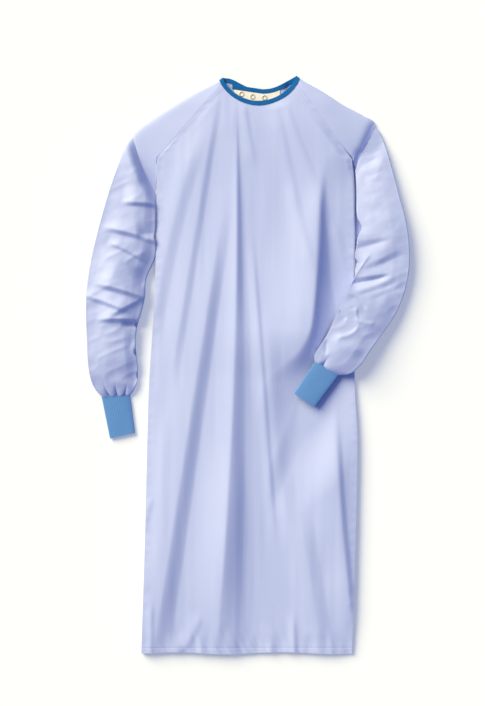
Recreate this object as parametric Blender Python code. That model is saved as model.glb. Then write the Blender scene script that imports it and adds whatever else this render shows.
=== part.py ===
"""Cover gown, laid on its back: front uppermost, head end along +Y, the wearer's left along +X.

Every cloth piece is a thin wall made from one grid of mid-surface points. Sizes are millimetres here
and become metres when a mesh is made. The origin is on the underside of the back, at mid length.
"""

import math
from collections import namedtuple

import bpy
import numpy as np

# ---------------------------------------------------------------- driving sizes (mm)
WALL = 1.2              # cloth, thickened from its real 0.15 mm
GAP = 0.3               # clearance between pieces that touch
CUFF_WALL = 2.0         # doubled rib knit
BINDING_WALL = 1.0
BINDING_WIDTH = 8.5

HPS_Y = 635.0           # high points of the shoulders
HPS_TILT = 0.024        # the neck lies slightly turned, its +X end higher
NECK_X = 10.0           # middle of the front neckline
NECK_HALF = 80.4
NECK_DROP = 53.0        # front neckline below the shoulder points
NECK_CURVE = 1.4        # above 1, the neckline is flatter near the shoulders
NECK_EASE = 0.23        # radians of the front neckline that belong to each sleeve
BACK_NECK_X = 17.0
BACK_NECK_HALF = 80.0
BACK_NECK_DROP = 26.5
BACK_NECK_CURVE = 2.4
BACK_RAGLAN_IN = 11.0   # the back armhole seam meets the neck this far inside the shoulder point

ARMPIT_Y = 455.0
HEM_Y = -632.0
HEM_WAVE = 2.0          # the hem swings up and down by this much
HEM_WAVE_LENGTH = 38.0  # and by one radian of its wave over this width
HEM_WAVE_FADE = 8       # the higher, the nearer to the hem the wave stays
LOWER_EDGE_X = 56.0     # free edge of the right back panel, under the other one
UPPER_EDGE_X = -50.0    # free edge of the left back panel
UPPER_NECK_SLOPE = 0.15 # its neck edge climbs to its free corner
OVERLAP_STEP = (60.0, 76.0)
NECK_STACK = (45.0, 90.0)   # below the neck edge, the layers close up over this stretch

SEAM_NECK_Z = 9.5       # mid-surface height of the front neck edge at the shoulder points
SEAM_BUMP = 12.0        # rise of the raglan seams halfway
SIDE_ROUND = 42.0       # the front rounds down to its side seams over this width
YOKE_ROUND = 60.0       # and to its raglan seams over this one
FOLD_FADE = 34.0        # folds die out this far from the sides
FOLD_STEPS = 33         # points along a fold's line
FOLD_TIP = 0.22         # a fold rises and dies over this share of its length
PRESSED_Z = 14.0        # the front is no higher than this under the laid-over forearm
FOREARM_AXIS = ((214.0, 150.0), (112.0, -72.0))
FOREARM_REACH = (42.0, 84.0)
FOLD_EDGE = 3.5         # height of a sleeve's outer fold above its underside
LIP = 0.9               # the top lip of the underarm seam stands this far above the lower one

TAPE_FROM_X = -46.0
TAPE_TO_X = 55.0
TAPE_HEIGHT = 30.0
SNAP_OUTER = 11.2
SNAP_INNER = 7.2
SNAP_THICK = 1.2
SNAP_PLACES = ((-30.0, 599.3), (-5.7, 593.6), (20.6, 591.2))

FRONT_COLUMNS = 24
SKIRT_ROWS = 20
SLEEVE_OVER = 11
SLEEVE_UNDER = 7
CUFF_AROUND = 22
CUFF_ROWS = 3
SNAP_SEGMENTS = 20
RAGLAN_AT = (0.0, 0.09, 0.2, 0.36, 0.52, 0.68, 0.84, 1.0)   # fractions of the seam, neck to armpit

# ---------------------------------------------------------------- tables (mm)
# The side folds of the body, by height on the table.
Side = namedtuple("Side", "y left right")
SIDES = (
    Side(455, -216, 214),
    Side(300, -217, 217),
    Side(145, -221, 217),
    Side(-50, -233, 220),
    Side(-150, -236, 225),
    Side(-400, -242, 221),
    Side(-632, -250, 214),
)

# Height of the front above the table, down its middle.
Crown = namedtuple("Crown", "y height")
CROWNS = (
    Crown(640, 17.0),
    Crown(580, 17.0),
    Crown(520, 22.0),
    Crown(420, 27.0),
    Crown(200, 27.0),
    Crown(-150, 25.0),
    Crown(-450, 23.0),
    Crown(-640, 18.0),
)

# A fold is a ridge along a bowed line from point 1 to point 2, soft on one flank and steep on the other.
# The steep flank is on the left of a walker from 1 to 2: on +X for a fold that runs to the hem.
Fold = namedtuple("Fold", "x1 y1 bend x2 y2 height soft steep")
BODY_FOLDS = (
    Fold(-88, 580, 4, -194, -10, 6.0, 42, 22),      # down the right chest
    Fold(-118, 500, -18, -214, 60, 4.0, 26, 22),    # a short one outside it
    Fold(-58, 585, 24, -64, -720, 10.0, 60, 26),    # the long middle fold, neck to hem
    Fold(-78, 350, 6, -232, -660, 8.5, 50, 22),     # slanting to the right side of the hem
    Fold(-12, 585, 0, 16, 400, 3.0, 26, 16),        # three short ones fanning out below the neck
    Fold(22, 580, -6, 102, 330, 4.0, 30, 18),
    Fold(60, 572, -4, 140, 360, 4.0, 28, 18),
    Fold(142, 420, 8, 108, -20, 9.5, 44, 26),       # the deep one that runs under the forearm
    Fold(156, -40, 2, 210, -640, 9.0, 44, 14),      # left side, forearm to hem
    Fold(40, -10, 6, 86, -380, 4.0, 36, 24),
)
SLEEVE_FOLDS = (
    Fold(-262, 214, -8, -300, 150, 7.0, 22, 12),    # right elbow
    Fold(-290, 172, 6, -364, 148, 6.0, 24, 12),
    Fold(-264, 100, 8, -330, 104, 5.0, 20, 12),
    Fold(286, 262, 6, 226, 236, 7.0, 22, 12),       # left elbow, three across it
    Fold(322, 240, 8, 246, 212, 8.0, 24, 12),
    Fold(304, 182, 6, 228, 176, 7.0, 22, 12),
    Fold(300, 150, 4, 240, 130, 5.0, 20, 10),
)

# The shoulder fold of each sleeve, by fraction of the raglan seam, with the loft of the cloth there.
Shoulder = namedtuple("Shoulder", "amount right_x right_y left_x left_y loft")
SHOULDERS = (
    Shoulder(0.0, -71, 634, 91, 638, 0.0),
    Shoulder(0.09, -83, 626, 103, 630, 1.0),
    Shoulder(0.25, -130, 603, 143, 608, 5.0),
    Shoulder(0.5, -181, 574, 193, 576, 9.0),
    Shoulder(0.75, -233, 540, 236, 553, 14.0),
    Shoulder(1.0, -264, 514, 268, 531, 20.0),
)

# A sleeve below the armpit: its inner and outer fold on the table, the loft of the cloth between them,
# and how far the section is lifted at each of the two.
Tube = namedtuple("Tube", "inner_x inner_y outer_x outer_y loft lift_in lift_out")
RIGHT_TUBE = (
    Tube(-219, 430, -284, 484, 26, 0, 0),
    Tube(-220, 388, -303, 436, 34, 0, 0),
    Tube(-220, 340, -321, 384, 38, 0, 0),
    Tube(-220, 288, -338, 326, 38, 0, 0),
    Tube(-221, 240, -353, 270, 38, 0, 0),
    Tube(-241, 192, -363, 222, 37, 0, 0),
    Tube(-244, 150, -371, 165, 36, 0, 0),
    Tube(-255, 105, -372, 112, 36, 0, 0),
    Tube(-264, 65, -370, 60, 35, 0, 0),
    Tube(-261, 15, -368, 12, 34, 0, 0),
    Tube(-259, -26, -363, -24, 28, 0, 0),
    Tube(-267, -50, -353, -50, 18, 0, 0),
    Tube(-276, -63, -338, -67, 6, 0, 0),
)
LEFT_TUBE = (
    Tube(218, 426, 288, 484, 24, 0, 0),
    Tube(219, 388, 301, 440, 34, 0, 0),
    Tube(220, 340, 318, 376, 38, 0, 0),
    Tube(222, 290, 335, 306, 39, 0, 0),
    Tube(221, 243, 341, 236, 39, 0, 0),
    Tube(221, 203, 336, 188, 36, 3, 0),
    Tube(209, 170, 324, 145, 34, 16, 0),
    Tube(194, 142, 306, 108, 34, 17, 2),
    Tube(178, 107, 280, 70, 33, 17, 6),
    Tube(160, 70, 254, 35, 32, 17, 13),
    Tube(143, 43, 231, 2, 28, 17, 16),
    Tube(133, 24, 208, -17, 18, 17, 17),
    Tube(134, 10, 184, -20, 6, 17, 17),
)

# A cuff: its corners at the seam end and at the hand end, and its lift.
Cuff = namedtuple("Cuff", "inner_x inner_y outer_x outer_y end_inner_x end_inner_y end_outer_x end_outer_y lift")
RIGHT_CUFF = Cuff(-276, -64.2, -338, -68.2, -265, -148, -319, -160, 0)
LEFT_CUFF = Cuff(133.5, 9, 183.5, -21, 86, -61, 131, -90, 17)
CUFF_THICK = 10.0

# name: colour (linear), roughness, metallic
LOOKS = {
    "cover_cloth": ((0.57, 0.62, 0.84, 1.0), 0.62, 0.0),
    "rib_knit": ((0.13, 0.29, 0.58, 1.0), 0.9, 0.0),
    "binding_cloth": ((0.03, 0.18, 0.46, 1.0), 0.75, 0.0),
    "twill_tape": ((0.82, 0.77, 0.68, 1.0), 0.9, 0.0),
    "nickel": ((0.55, 0.52, 0.47, 1.0), 0.35, 1.0),
}


# ---------------------------------------------------------------- small helpers
def ease(low, high, value):
    """0 below low, 1 above high, smooth between."""
    t = np.clip((value - low) / (high - low), 0.0, 1.0)
    return t * t * (3.0 - 2.0 * t)


def blend(start, end, amount):
    return start + (end - start) * amount


def read(table, column, key):
    """A column of a table, read at a value of its first column."""
    rows = sorted((row[0], getattr(row, column)) for row in table)
    return np.interp(key, [row[0] for row in rows], [row[1] for row in rows])


def unit(vectors):
    return vectors / np.linalg.norm(vectors, axis=-1, keepdims=True)


# ---------------------------------------------------------------- lines and heights
def shoulder_y(x):
    return HPS_Y + HPS_TILT * (x - NECK_X)


def front_neck(angle):
    """A point of the front neckline; angle runs from -pi/2 to pi/2 between the shoulder points."""
    x = NECK_X + NECK_HALF * np.sin(angle)
    return x, shoulder_y(x) - NECK_DROP * np.cos(angle) ** NECK_CURVE


def back_neck_y(x):
    out = np.clip(np.abs((x - BACK_NECK_X) / BACK_NECK_HALF), 0.0, 1.0)
    return shoulder_y(x) - BACK_NECK_DROP * (1.0 - out ** BACK_NECK_CURVE) ** 2


def upper_neck_y(x):
    """Neck edge of the left back panel, which runs straight to its free corner."""
    straight = back_neck_y(BACK_NECK_X) + UPPER_NECK_SLOPE * (BACK_NECK_X - x)
    return np.where(x < BACK_NECK_X, straight, back_neck_y(x))


def neck_stack(x, y):
    """1 near the back neck edge, where binding lies between the layers, and 0 away from it."""
    return 1.0 - ease(*NECK_STACK, back_neck_y(x) - y)


def under_z(x, y):
    """Mid-surface of what lies on the table, which clears the binding below it near the neck."""
    return WALL / 2 + (BINDING_WALL + GAP) * neck_stack(x, y)


def upper_z(x, y):
    """Mid-surface of the left back panel, which climbs over the right one and its binding."""
    climb = WALL + GAP + 2 * (BINDING_WALL + GAP) * neck_stack(x, y)
    return under_z(x, y) + climb * (1.0 - ease(*OVERLAP_STEP, x))


def seam_z(amount):
    """Mid-surface height along a front raglan seam, from the neck (0) to the armpit (1)."""
    armpit = WALL / 2 + WALL + GAP
    return blend(SEAM_NECK_Z, armpit, amount) + SEAM_BUMP * np.sin(math.pi * amount) ** 0.8


def hem_wave(x, down):
    return HEM_WAVE * np.sin(x / HEM_WAVE_LENGTH) * max(down, 0.0) ** HEM_WAVE_FADE


def fold_rise(x, y, folds):
    """Summed height of the folds at the points x, y."""
    total = np.zeros(np.shape(x))
    steps = np.linspace(0.0, 1.0, FOLD_STEPS)
    for fold in folds:
        run = np.array([fold.x2 - fold.x1, fold.y2 - fold.y1], float)
        side = np.array([-run[1], run[0]]) / np.hypot(*run)
        bow = 4.0 * fold.bend * steps * (1.0 - steps)
        line_x = fold.x1 + run[0] * steps + side[0] * bow
        line_y = fold.y1 + run[1] * steps + side[1] * bow
        nearest = np.argmin((x[..., None] - line_x) ** 2 + (y[..., None] - line_y) ** 2, axis=-1)
        offset = (x - line_x[nearest]) * side[0] + (y - line_y[nearest]) * side[1]
        width = np.where(offset < 0.0, fold.soft, fold.steep)
        taper = ease(0.0, FOLD_TIP, steps[nearest]) * ease(0.0, FOLD_TIP, 1.0 - steps[nearest])
        total += fold.height * taper * np.exp(-(offset / width) ** 2)
    return total


def forearm_press(x, y):
    """1 where the left forearm and cuff lie on the front and hold it down, 0 well away from them."""
    start, end = np.array(FOREARM_AXIS)
    run = end - start
    place = np.clip(((x - start[0]) * run[0] + (y - start[1]) * run[1]) / (run @ run), 0.0, 1.0)
    far = np.hypot(x - start[0] - place * run[0], y - start[1] - place * run[1])
    return 1.0 - ease(*FOREARM_REACH, far)


# ---------------------------------------------------------------- grids of mid-surface points
def front_row(across, down):
    """A row of the front, across 0..1 from -X; down is -1 at the neck, 0 at the armpits, 1 at the hem."""
    amount = min(down + 1.0, 1.0)
    y = blend(ARMPIT_Y, HEM_Y, max(down, 0.0)) + 0.0 * across
    x = blend(read(SIDES, "left", y), read(SIDES, "right", y), across)
    neck_x, neck_y = front_neck((2.0 * across - 1.0) * (math.pi / 2 - NECK_EASE))
    x = blend(neck_x, x, amount)
    y = blend(neck_y, y, amount)
    y = y + hem_wave(x, down)
    inside = np.minimum(across, 1.0 - across) * np.ptp(x)
    rounding = blend(YOKE_ROUND, SIDE_ROUND, ease(-0.6, 0.05, down))
    edge = seam_z(amount)
    dome = np.sin(math.pi / 2 * np.minimum(1.0, inside / rounding))
    z = blend(edge, read(CROWNS, "height", y), dome)
    z = z + fold_rise(x, y, BODY_FOLDS) * ease(0.0, FOLD_FADE, inside) * ease(-1.0, -0.75, down)
    z = blend(z, np.minimum(z, PRESSED_Z), forearm_press(x, y))
    return np.stack([x, y, z], axis=-1)


def panel_rows():
    """Row places of a body panel, as front_row takes them."""
    raglan = [amount - 1.0 for amount in RAGLAN_AT[:-1]]
    return raglan + [row / SKIRT_ROWS for row in range(SKIRT_ROWS + 1)]


def front_grid():
    across = np.linspace(0.0, 1.0, FRONT_COLUMNS + 1)
    return np.array([front_row(across, down) for down in panel_rows()])


def back_grid(sign, inner_columns, neck_y, height):
    """A back panel: one column down its armhole and side, one beside it, then columns at fixed x."""
    side = "left" if sign < 0 else "right"
    shoulder_x = NECK_X + sign * (NECK_HALF - BACK_RAGLAN_IN)
    rows = []
    for down in panel_rows():
        amount = min(down + 1.0, 1.0)
        y_below = blend(ARMPIT_Y, HEM_Y, max(down, 0.0))
        outer_x = blend(shoulder_x, read(SIDES, side, y_below), amount)
        x = np.array([outer_x, blend(outer_x, inner_columns[0], 0.5), *inner_columns])
        at_neck = np.array([shoulder_x, blend(shoulder_x, inner_columns[0], 0.5), *inner_columns])
        y = blend(neck_y(at_neck), y_below, amount)
        y = y + hem_wave(x, down)
        rows.append(np.stack([x, y, height(x, y)], axis=-1))
    return np.array(rows)


def sleeve_section(front_in, outer, back_in, top_z, loft, lift_in, lift_out):
    """One ring of a sleeve, from its front inner edge over the top, round the outer fold and back under."""
    over = np.linspace(0.0, math.pi, SLEEVE_OVER + 1)
    under = np.linspace(math.pi, 2.0 * math.pi, SLEEVE_UNDER + 1)[1:]
    out_over, out_under = (1.0 - np.cos(over)) / 2, (1.0 - np.cos(under)) / 2
    x = np.concatenate([blend(front_in[0], outer[0], out_over), blend(back_in[0], outer[0], out_under)])
    y = np.concatenate([blend(front_in[1], outer[1], out_over), blend(back_in[1], outer[1], out_under)])
    base = under_z(x, y) + blend(lift_in, lift_out, np.concatenate([out_over, out_under]))
    drop = np.sqrt(1.0 - out_over ** 4)
    top = FOLD_EDGE + (top_z - base[0] - FOLD_EDGE) * drop + loft * np.abs(np.sin(over)) ** 0.8
    bottom = FOLD_EDGE * (1.0 - np.sqrt(1.0 - out_under ** 6))
    z = base + np.concatenate([top, bottom])
    rise = fold_rise(x, y, SLEEVE_FOLDS)[: len(over)]
    z[: len(over)] += rise * np.sin(over) ** 2 * min(1.0, loft / 30.0)
    return np.stack([x, y, z], axis=-1)


def sleeve_grid(sign, tube):
    """A sleeve: open rings between the two raglan seams, then rings that close at the underarm seam."""
    side = "left" if sign < 0 else "right"
    wearer = "right" if sign < 0 else "left"
    corner = np.array([0.0 if sign < 0 else 1.0])
    back_x = NECK_X + sign * (NECK_HALF - BACK_RAGLAN_IN)
    armpit_x = read(SIDES, side, ARMPIT_Y)
    rings = []
    for amount in RAGLAN_AT:
        front_in = front_row_edge(corner, amount - 1.0)
        back_in = (blend(back_x, armpit_x, amount), blend(back_neck_y(back_x), ARMPIT_Y, amount))
        outer = (read(SHOULDERS, wearer + "_x", amount), read(SHOULDERS, wearer + "_y", amount))
        loft = read(SHOULDERS, "loft", amount)
        rings.append(sleeve_section(front_in, outer, back_in, front_in[2], loft, 0.0, 0.0))
    for row in tube:
        inner = (row.inner_x, row.inner_y)
        top_z = under_z(*inner) + row.lift_in + LIP
        outer = (row.outer_x, row.outer_y)
        rings.append(sleeve_section(inner, outer, inner, top_z, row.loft, row.lift_in, row.lift_out))
    return np.array(rings)


def front_row_edge(corner, down):
    """The end point of a row of the front, on its raglan seam."""
    amount = down + 1.0
    neck_x, neck_y = front_neck((2.0 * corner - 1.0) * (math.pi / 2 - NECK_EASE))
    side = "left" if corner[0] < 0.5 else "right"
    x = blend(neck_x, read(SIDES, side, ARMPIT_Y), amount)
    y = blend(neck_y, ARMPIT_Y, amount)
    return float(x[0]), float(y[0]), seam_z(amount)


def cuff_grid(cuff):
    angles = np.linspace(0.0, 2.0 * math.pi, CUFF_AROUND, endpoint=False)
    out = (1.0 - np.cos(angles)) / 2
    half = (CUFF_THICK - CUFF_WALL) / 2
    z = cuff.lift + CUFF_THICK / 2 + half * np.sign(np.sin(angles)) * np.abs(np.sin(angles)) ** 0.6
    rings = []
    for amount in np.linspace(0.0, 1.0, CUFF_ROWS + 1):
        inner_x = blend(cuff.inner_x, cuff.end_inner_x, amount)
        inner_y = blend(cuff.inner_y, cuff.end_inner_y, amount)
        outer_x = blend(cuff.outer_x, cuff.end_outer_x, amount)
        outer_y = blend(cuff.outer_y, cuff.end_outer_y, amount)
        rings.append(np.stack([blend(inner_x, outer_x, out), blend(inner_y, outer_y, out), z], axis=-1))
    return np.array(rings)


def tape_grid():
    """The snap tape, on the left back panel just below its binding."""
    x = np.linspace(TAPE_FROM_X, TAPE_TO_X, 11)
    slope = np.gradient(upper_neck_y(x), x)
    stretch = np.sqrt(1.0 + slope ** 2)
    rows = []
    for below in (BINDING_WIDTH + 2 * GAP, BINDING_WIDTH + 2 * GAP + TAPE_HEIGHT):
        y = upper_neck_y(x) - below * stretch
        rows.append(np.stack([x, y, upper_z(x, y) + WALL + GAP], axis=-1))
    return np.array(rows)


# ---------------------------------------------------------------- meshes
def make_object(name, points, faces, look):
    """A mesh object in metres, its faces turned outwards."""
    points = np.asarray(points) * 0.001
    triangles = [(f[0], f[i], f[i + 1]) for f in faces for i in range(1, len(f) - 1)]
    corners = points[np.array(triangles)]
    volume = np.einsum("ij,ij->i", corners[:, 0], np.cross(corners[:, 1], corners[:, 2])).sum()
    if volume < 0.0:
        faces = [tuple(reversed(face)) for face in faces]
    mesh = bpy.data.meshes.new(name)
    mesh.from_pydata([tuple(point) for point in points], [], faces)
    mesh.shade_smooth()
    mesh.set_sharp_from_angle(angle=math.radians(50))
    colour, roughness, metallic = LOOKS[look]
    material = bpy.data.materials.get(look) or bpy.data.materials.new(look)
    material.use_nodes = True
    shader = material.node_tree.nodes["Principled BSDF"]
    shader.inputs["Base Color"].default_value = colour
    shader.inputs["Roughness"].default_value = roughness
    shader.inputs["Metallic"].default_value = metallic
    mesh.materials.append(material)
    item = bpy.data.objects.new(name, mesh)
    bpy.context.scene.collection.objects.link(item)
    return item


def draw_in(grid, first, last):
    """Pull the first and the last column back from their seams by half a gap each."""
    grid = grid.copy()
    if first:
        grid[:, 0] += unit(grid[:, 1] - grid[:, 0]) * GAP / 2
    if last:
        grid[:, -1] += unit(grid[:, -2] - grid[:, -1]) * GAP / 2
    return grid


def wall_normals(grid, closed=False):
    if closed:
        across = np.roll(grid, -1, axis=1) - np.roll(grid, 1, axis=1)
    else:
        across = np.gradient(grid, axis=1)
    return unit(np.cross(across, np.gradient(grid, axis=0)))


def cloth(name, grid, wall, look, closed=False, upright=()):
    """A wall round a grid of mid-surface points; upright lists borders whose edge face stands on end."""
    normals = wall_normals(grid, closed)
    for border in upright:
        normals[border] = [0.0, 0.0, 1.0] * np.sign(normals[border][..., 2:])
    rows, columns = grid.shape[:2]
    points = np.concatenate([(grid + normals * wall / 2).reshape(-1, 3), (grid - normals * wall / 2).reshape(-1, 3)])
    half = rows * columns
    faces = []

    def at(row, column):
        return row * columns + column % columns

    for row in range(rows - 1):
        for column in range(columns if closed else columns - 1):
            quad = (at(row, column), at(row, column + 1), at(row + 1, column + 1), at(row + 1, column))
            faces.append(quad)
            faces.append(tuple(half + corner for corner in reversed(quad)))
    ends = [(at(row, column), at(row, column + 1), row == 0) for row in (0, rows - 1)
            for column in range(columns if closed else columns - 1)]
    if not closed:
        ends += [(at(row, column), at(row + 1, column), column != 0) for column in (0, columns - 1)
                 for row in range(rows - 1)]
    for start, end, turned in ends:
        rim = (start, end, half + end, half + start)
        faces.append(tuple(reversed(rim)) if turned else rim)
    return make_object(name, points, faces, look)


def bind_neck(strips):
    """The folded binding: a U section carried along the neck edges, each given as a grid's first two rows."""
    edge, inward = [], []
    for first_row, second_row in strips:
        for point, below in zip(first_row, second_row):
            if edge and np.linalg.norm(point - edge[-1]) < 2 * GAP:
                edge[-1] = (edge[-1] + point) / 2
                continue
            edge.append(point)
            inward.append(below - point)
    edge, inward = np.array(edge), np.array(inward)
    tangent = unit(np.gradient(edge, axis=0))
    inward = unit(inward)
    normal = np.cross(tangent, inward)
    shear = np.linalg.norm(normal, axis=1, keepdims=True)
    inward, normal = inward / shear, normal / shear
    inner, outer = WALL / 2 + GAP, WALL / 2 + GAP + BINDING_WALL
    section = (
        (BINDING_WIDTH, outer), (-GAP - BINDING_WALL, outer), (-GAP - BINDING_WALL, -outer),
        (BINDING_WIDTH, -outer), (BINDING_WIDTH, -inner), (-GAP, -inner), (-GAP, inner), (BINDING_WIDTH, inner),
    )
    points = [point + depth * down + height * up
              for point, down, up in zip(edge, inward, normal) for depth, height in section]
    count, size = len(edge), len(section)
    faces = [(ring * size + side, ring * size + (side + 1) % size,
              (ring + 1) * size + (side + 1) % size, (ring + 1) * size + side)
             for ring in range(count - 1) for side in range(size)]
    last = (count - 1) * size
    for corners in ((0, 1, 6, 7), (1, 2, 5, 6), (2, 3, 4, 5)):
        faces.append(tuple(reversed(corners)))
        faces.append(tuple(last + corner for corner in corners))
    return make_object("neck_binding", points, faces, "binding_cloth")


def snap_ring(name, centre_x, centre_y, base_z):
    """An open ring snap, a turned square section."""
    section = ((SNAP_INNER, 0.0), (SNAP_OUTER, 0.0), (SNAP_OUTER, SNAP_THICK), (SNAP_INNER, SNAP_THICK))
    points, faces = [], []
    for step in range(SNAP_SEGMENTS):
        angle = 2.0 * math.pi * step / SNAP_SEGMENTS
        for diameter, height in section:
            points.append((centre_x + diameter / 2 * math.cos(angle), centre_y + diameter / 2 * math.sin(angle),
                           base_z + height))
        here, there = step * 4, (step + 1) % SNAP_SEGMENTS * 4
        faces += [(here + side, there + side, there + (side + 1) % 4, here + (side + 1) % 4) for side in range(4)]
    return make_object(name, points, faces, "nickel")


# ---------------------------------------------------------------- the gown
def build():
    for item in list(bpy.data.objects):
        bpy.data.objects.remove(item)

    seam_rows = slice(0, len(RAGLAN_AT))
    front = draw_in(front_grid(), True, True)
    cloth("front_panel", front, WALL, "cover_cloth", upright=[(seam_rows, 0), (seam_rows, -1)])

    right_back = draw_in(back_grid(-1, (-50, -30, -10, 10, 30, LOWER_EDGE_X), back_neck_y, under_z), True, False)
    left_columns = (OVERLAP_STEP[1], OVERLAP_STEP[0], 40, 20, 5, -15, -35, UPPER_EDGE_X)
    left_back = draw_in(back_grid(1, left_columns, upper_neck_y, upper_z), True, False)
    cloth("back_panel_right", right_back, WALL, "cover_cloth")
    cloth("back_panel_left", left_back, WALL, "cover_cloth")

    right_sleeve = draw_in(sleeve_grid(-1, RIGHT_TUBE), True, True)
    left_sleeve = draw_in(sleeve_grid(1, LEFT_TUBE), True, True)
    seams = [(seam_rows, 0), (seam_rows, -1)]
    cloth("sleeve_right", right_sleeve, WALL, "cover_cloth", upright=seams)
    cloth("sleeve_left", left_sleeve, WALL, "cover_cloth", upright=seams)
    cloth("cuff_right", cuff_grid(RIGHT_CUFF), CUFF_WALL, "rib_knit", closed=True)
    cloth("cuff_left", cuff_grid(LEFT_CUFF), CUFF_WALL, "rib_knit", closed=True)

    bind_neck([
        right_back[:2, ::-1],
        right_sleeve[:2, ::-1],
        front[:2],
        left_sleeve[:2],
        left_back[:2],
    ])

    tape = tape_grid()
    cloth("snap_tape", tape, WALL, "twill_tape")
    ring_z = tape[0, 0, 2] + WALL / 2 + GAP
    for number, (x, y) in enumerate(SNAP_PLACES, 1):
        snap_ring(f"snap_ring_{number}", x, y, ring_z)


build()
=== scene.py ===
# %% [markdown]
# # A cover gown, laid on its back
# This lesson dresses a reusable cover gown: a long raglan gown of thin polyester, with rib-knit cuffs,
# a bound neck and an open, overlapping back. It lies on a table with its front uppermost.
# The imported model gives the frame: every piece below goes where that model says, in metres, with +Z up,
# +Y towards the head and +X towards the wearer's left. "Right" and "left" are always the wearer's.

# %% Load the frame
import math
from collections import namedtuple

import bpy
import numpy as np
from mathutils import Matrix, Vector


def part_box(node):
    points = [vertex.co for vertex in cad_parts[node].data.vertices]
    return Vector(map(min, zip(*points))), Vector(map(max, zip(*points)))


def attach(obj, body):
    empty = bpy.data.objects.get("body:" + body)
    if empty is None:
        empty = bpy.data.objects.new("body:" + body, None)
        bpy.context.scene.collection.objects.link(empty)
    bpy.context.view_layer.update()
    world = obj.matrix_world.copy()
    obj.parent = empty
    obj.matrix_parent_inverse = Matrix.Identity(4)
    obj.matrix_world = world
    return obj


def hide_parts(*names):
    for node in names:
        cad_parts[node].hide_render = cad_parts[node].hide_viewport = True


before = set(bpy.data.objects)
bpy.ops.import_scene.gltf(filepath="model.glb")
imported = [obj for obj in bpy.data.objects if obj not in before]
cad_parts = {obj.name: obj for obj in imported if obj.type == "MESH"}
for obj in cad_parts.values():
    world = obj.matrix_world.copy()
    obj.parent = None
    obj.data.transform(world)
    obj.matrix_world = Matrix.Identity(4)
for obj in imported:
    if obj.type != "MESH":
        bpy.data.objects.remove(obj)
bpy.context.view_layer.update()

# %% [markdown]
# ## Working in millimetres
# A dressmaker thinks in millimetres, so the tables and formulas below do too, and points become metres
# when a mesh is made. A few small helpers are used everywhere: they ease and blend between values, fade
# out to both sides, and read a column of a table with a smooth curve through its rows, because a straight
# line between rows would show as a kink in shiny cloth.

# %% Small helpers
MM = 0.001


def ease(low, high, value):
    """0 below low, 1 above high, smooth between."""
    t = np.clip((value - low) / (high - low), 0.0, 1.0)
    return t * t * (3.0 - 2.0 * t)


def blend(start, end, amount):
    return start + (end - start) * amount


def bell(offset, width):
    """1 in the middle, about a third one width away, and nothing beyond two."""
    return np.exp(-(offset / width) ** 2)


def quarter_round(distance, radius):
    """0 at an edge, rising to 1 like a quarter circle, radius away from it."""
    return np.sqrt(1.0 - (1.0 - np.clip(distance / radius, 0.0, 1.0)) ** 2)


def unit(vectors):
    return vectors / np.linalg.norm(vectors, axis=-1, keepdims=True)


def smooth_curve(at, values, key):
    """A smooth curve through the values, read at key."""
    at = np.asarray(at, float)
    values = np.asarray(values, float)
    gaps = np.diff(at)
    slopes = np.diff(values) / gaps
    tangents = np.concatenate([slopes[:1], (slopes[:-1] + slopes[1:]) / 2, slopes[-1:]])
    key = np.clip(key, at[0], at[-1])
    place = np.clip(np.searchsorted(at, key) - 1, 0, len(gaps) - 1)
    gap = gaps[place]
    t = (key - at[place]) / gap
    start = (2 * t ** 3 - 3 * t ** 2 + 1) * values[place] + (t ** 3 - 2 * t ** 2 + t) * gap * tangents[place]
    end = (3 * t ** 2 - 2 * t ** 3) * values[place + 1] + (t ** 3 - t ** 2) * gap * tangents[place + 1]
    return start + end


def read(table, column, key):
    """A column of a table, read at a value of its first column."""
    rows = sorted((row[0], getattr(row, column)) for row in table)
    return smooth_curve([row[0] for row in rows], [row[1] for row in rows], key)


def distances(line):
    """How far along a line of points each of them lies."""
    return np.concatenate([[0.0], np.cumsum(np.linalg.norm(np.diff(line, axis=0), axis=1))])


def point_at(line, along, key):
    """The point of a line at key, where along gives the place of each of its own points."""
    return np.stack([np.interp(key, along, line[:, axis]) for axis in range(3)], axis=-1)


print("helpers ready")

# %% [markdown]
# ## Uneven cloth
# Cloth is never quite even. Soft noise gives it shallow random waves: random heights on a coarse lattice,
# eased from one to the next, so that they have a known size in millimetres and come out the same each time.

# %% Soft noise
LATTICE = (61, 67)
Wave = namedtuple("Wave", "height across along seed")


def soft_noise(x, y, across, along, seed):
    """Smooth random heights between -1 and 1, with waves of about these lengths."""
    lattice = np.random.default_rng(seed).uniform(-1.0, 1.0, LATTICE)
    x, y = x / across, y / along
    column, row = np.floor(x).astype(int), np.floor(y).astype(int)
    t, s = ease(0.0, 1.0, x - column), ease(0.0, 1.0, y - row)

    def at(i, j):
        return lattice[(column + i) % LATTICE[0], (row + j) % LATTICE[1]]

    return blend(blend(at(0, 0), at(1, 0), t), blend(at(0, 1), at(1, 1), t), s)


def ripple(x, y, *waves, seed=0):
    """Summed soft noise of several heights and lengths."""
    return sum(wave.height * soft_noise(x, y, wave.across, wave.along, wave.seed + seed) for wave in waves)


print("noise repeats after", LATTICE, "waves")

# %% [markdown]
# ## The cut and lie of the gown
# These are the gown's own sizes: where its neck, armpits, sides and hem lie on the table. They match the
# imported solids, so the dressed cloth lies in the same walls. The hem comes from the frame, and the rest
# from the cut.

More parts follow.
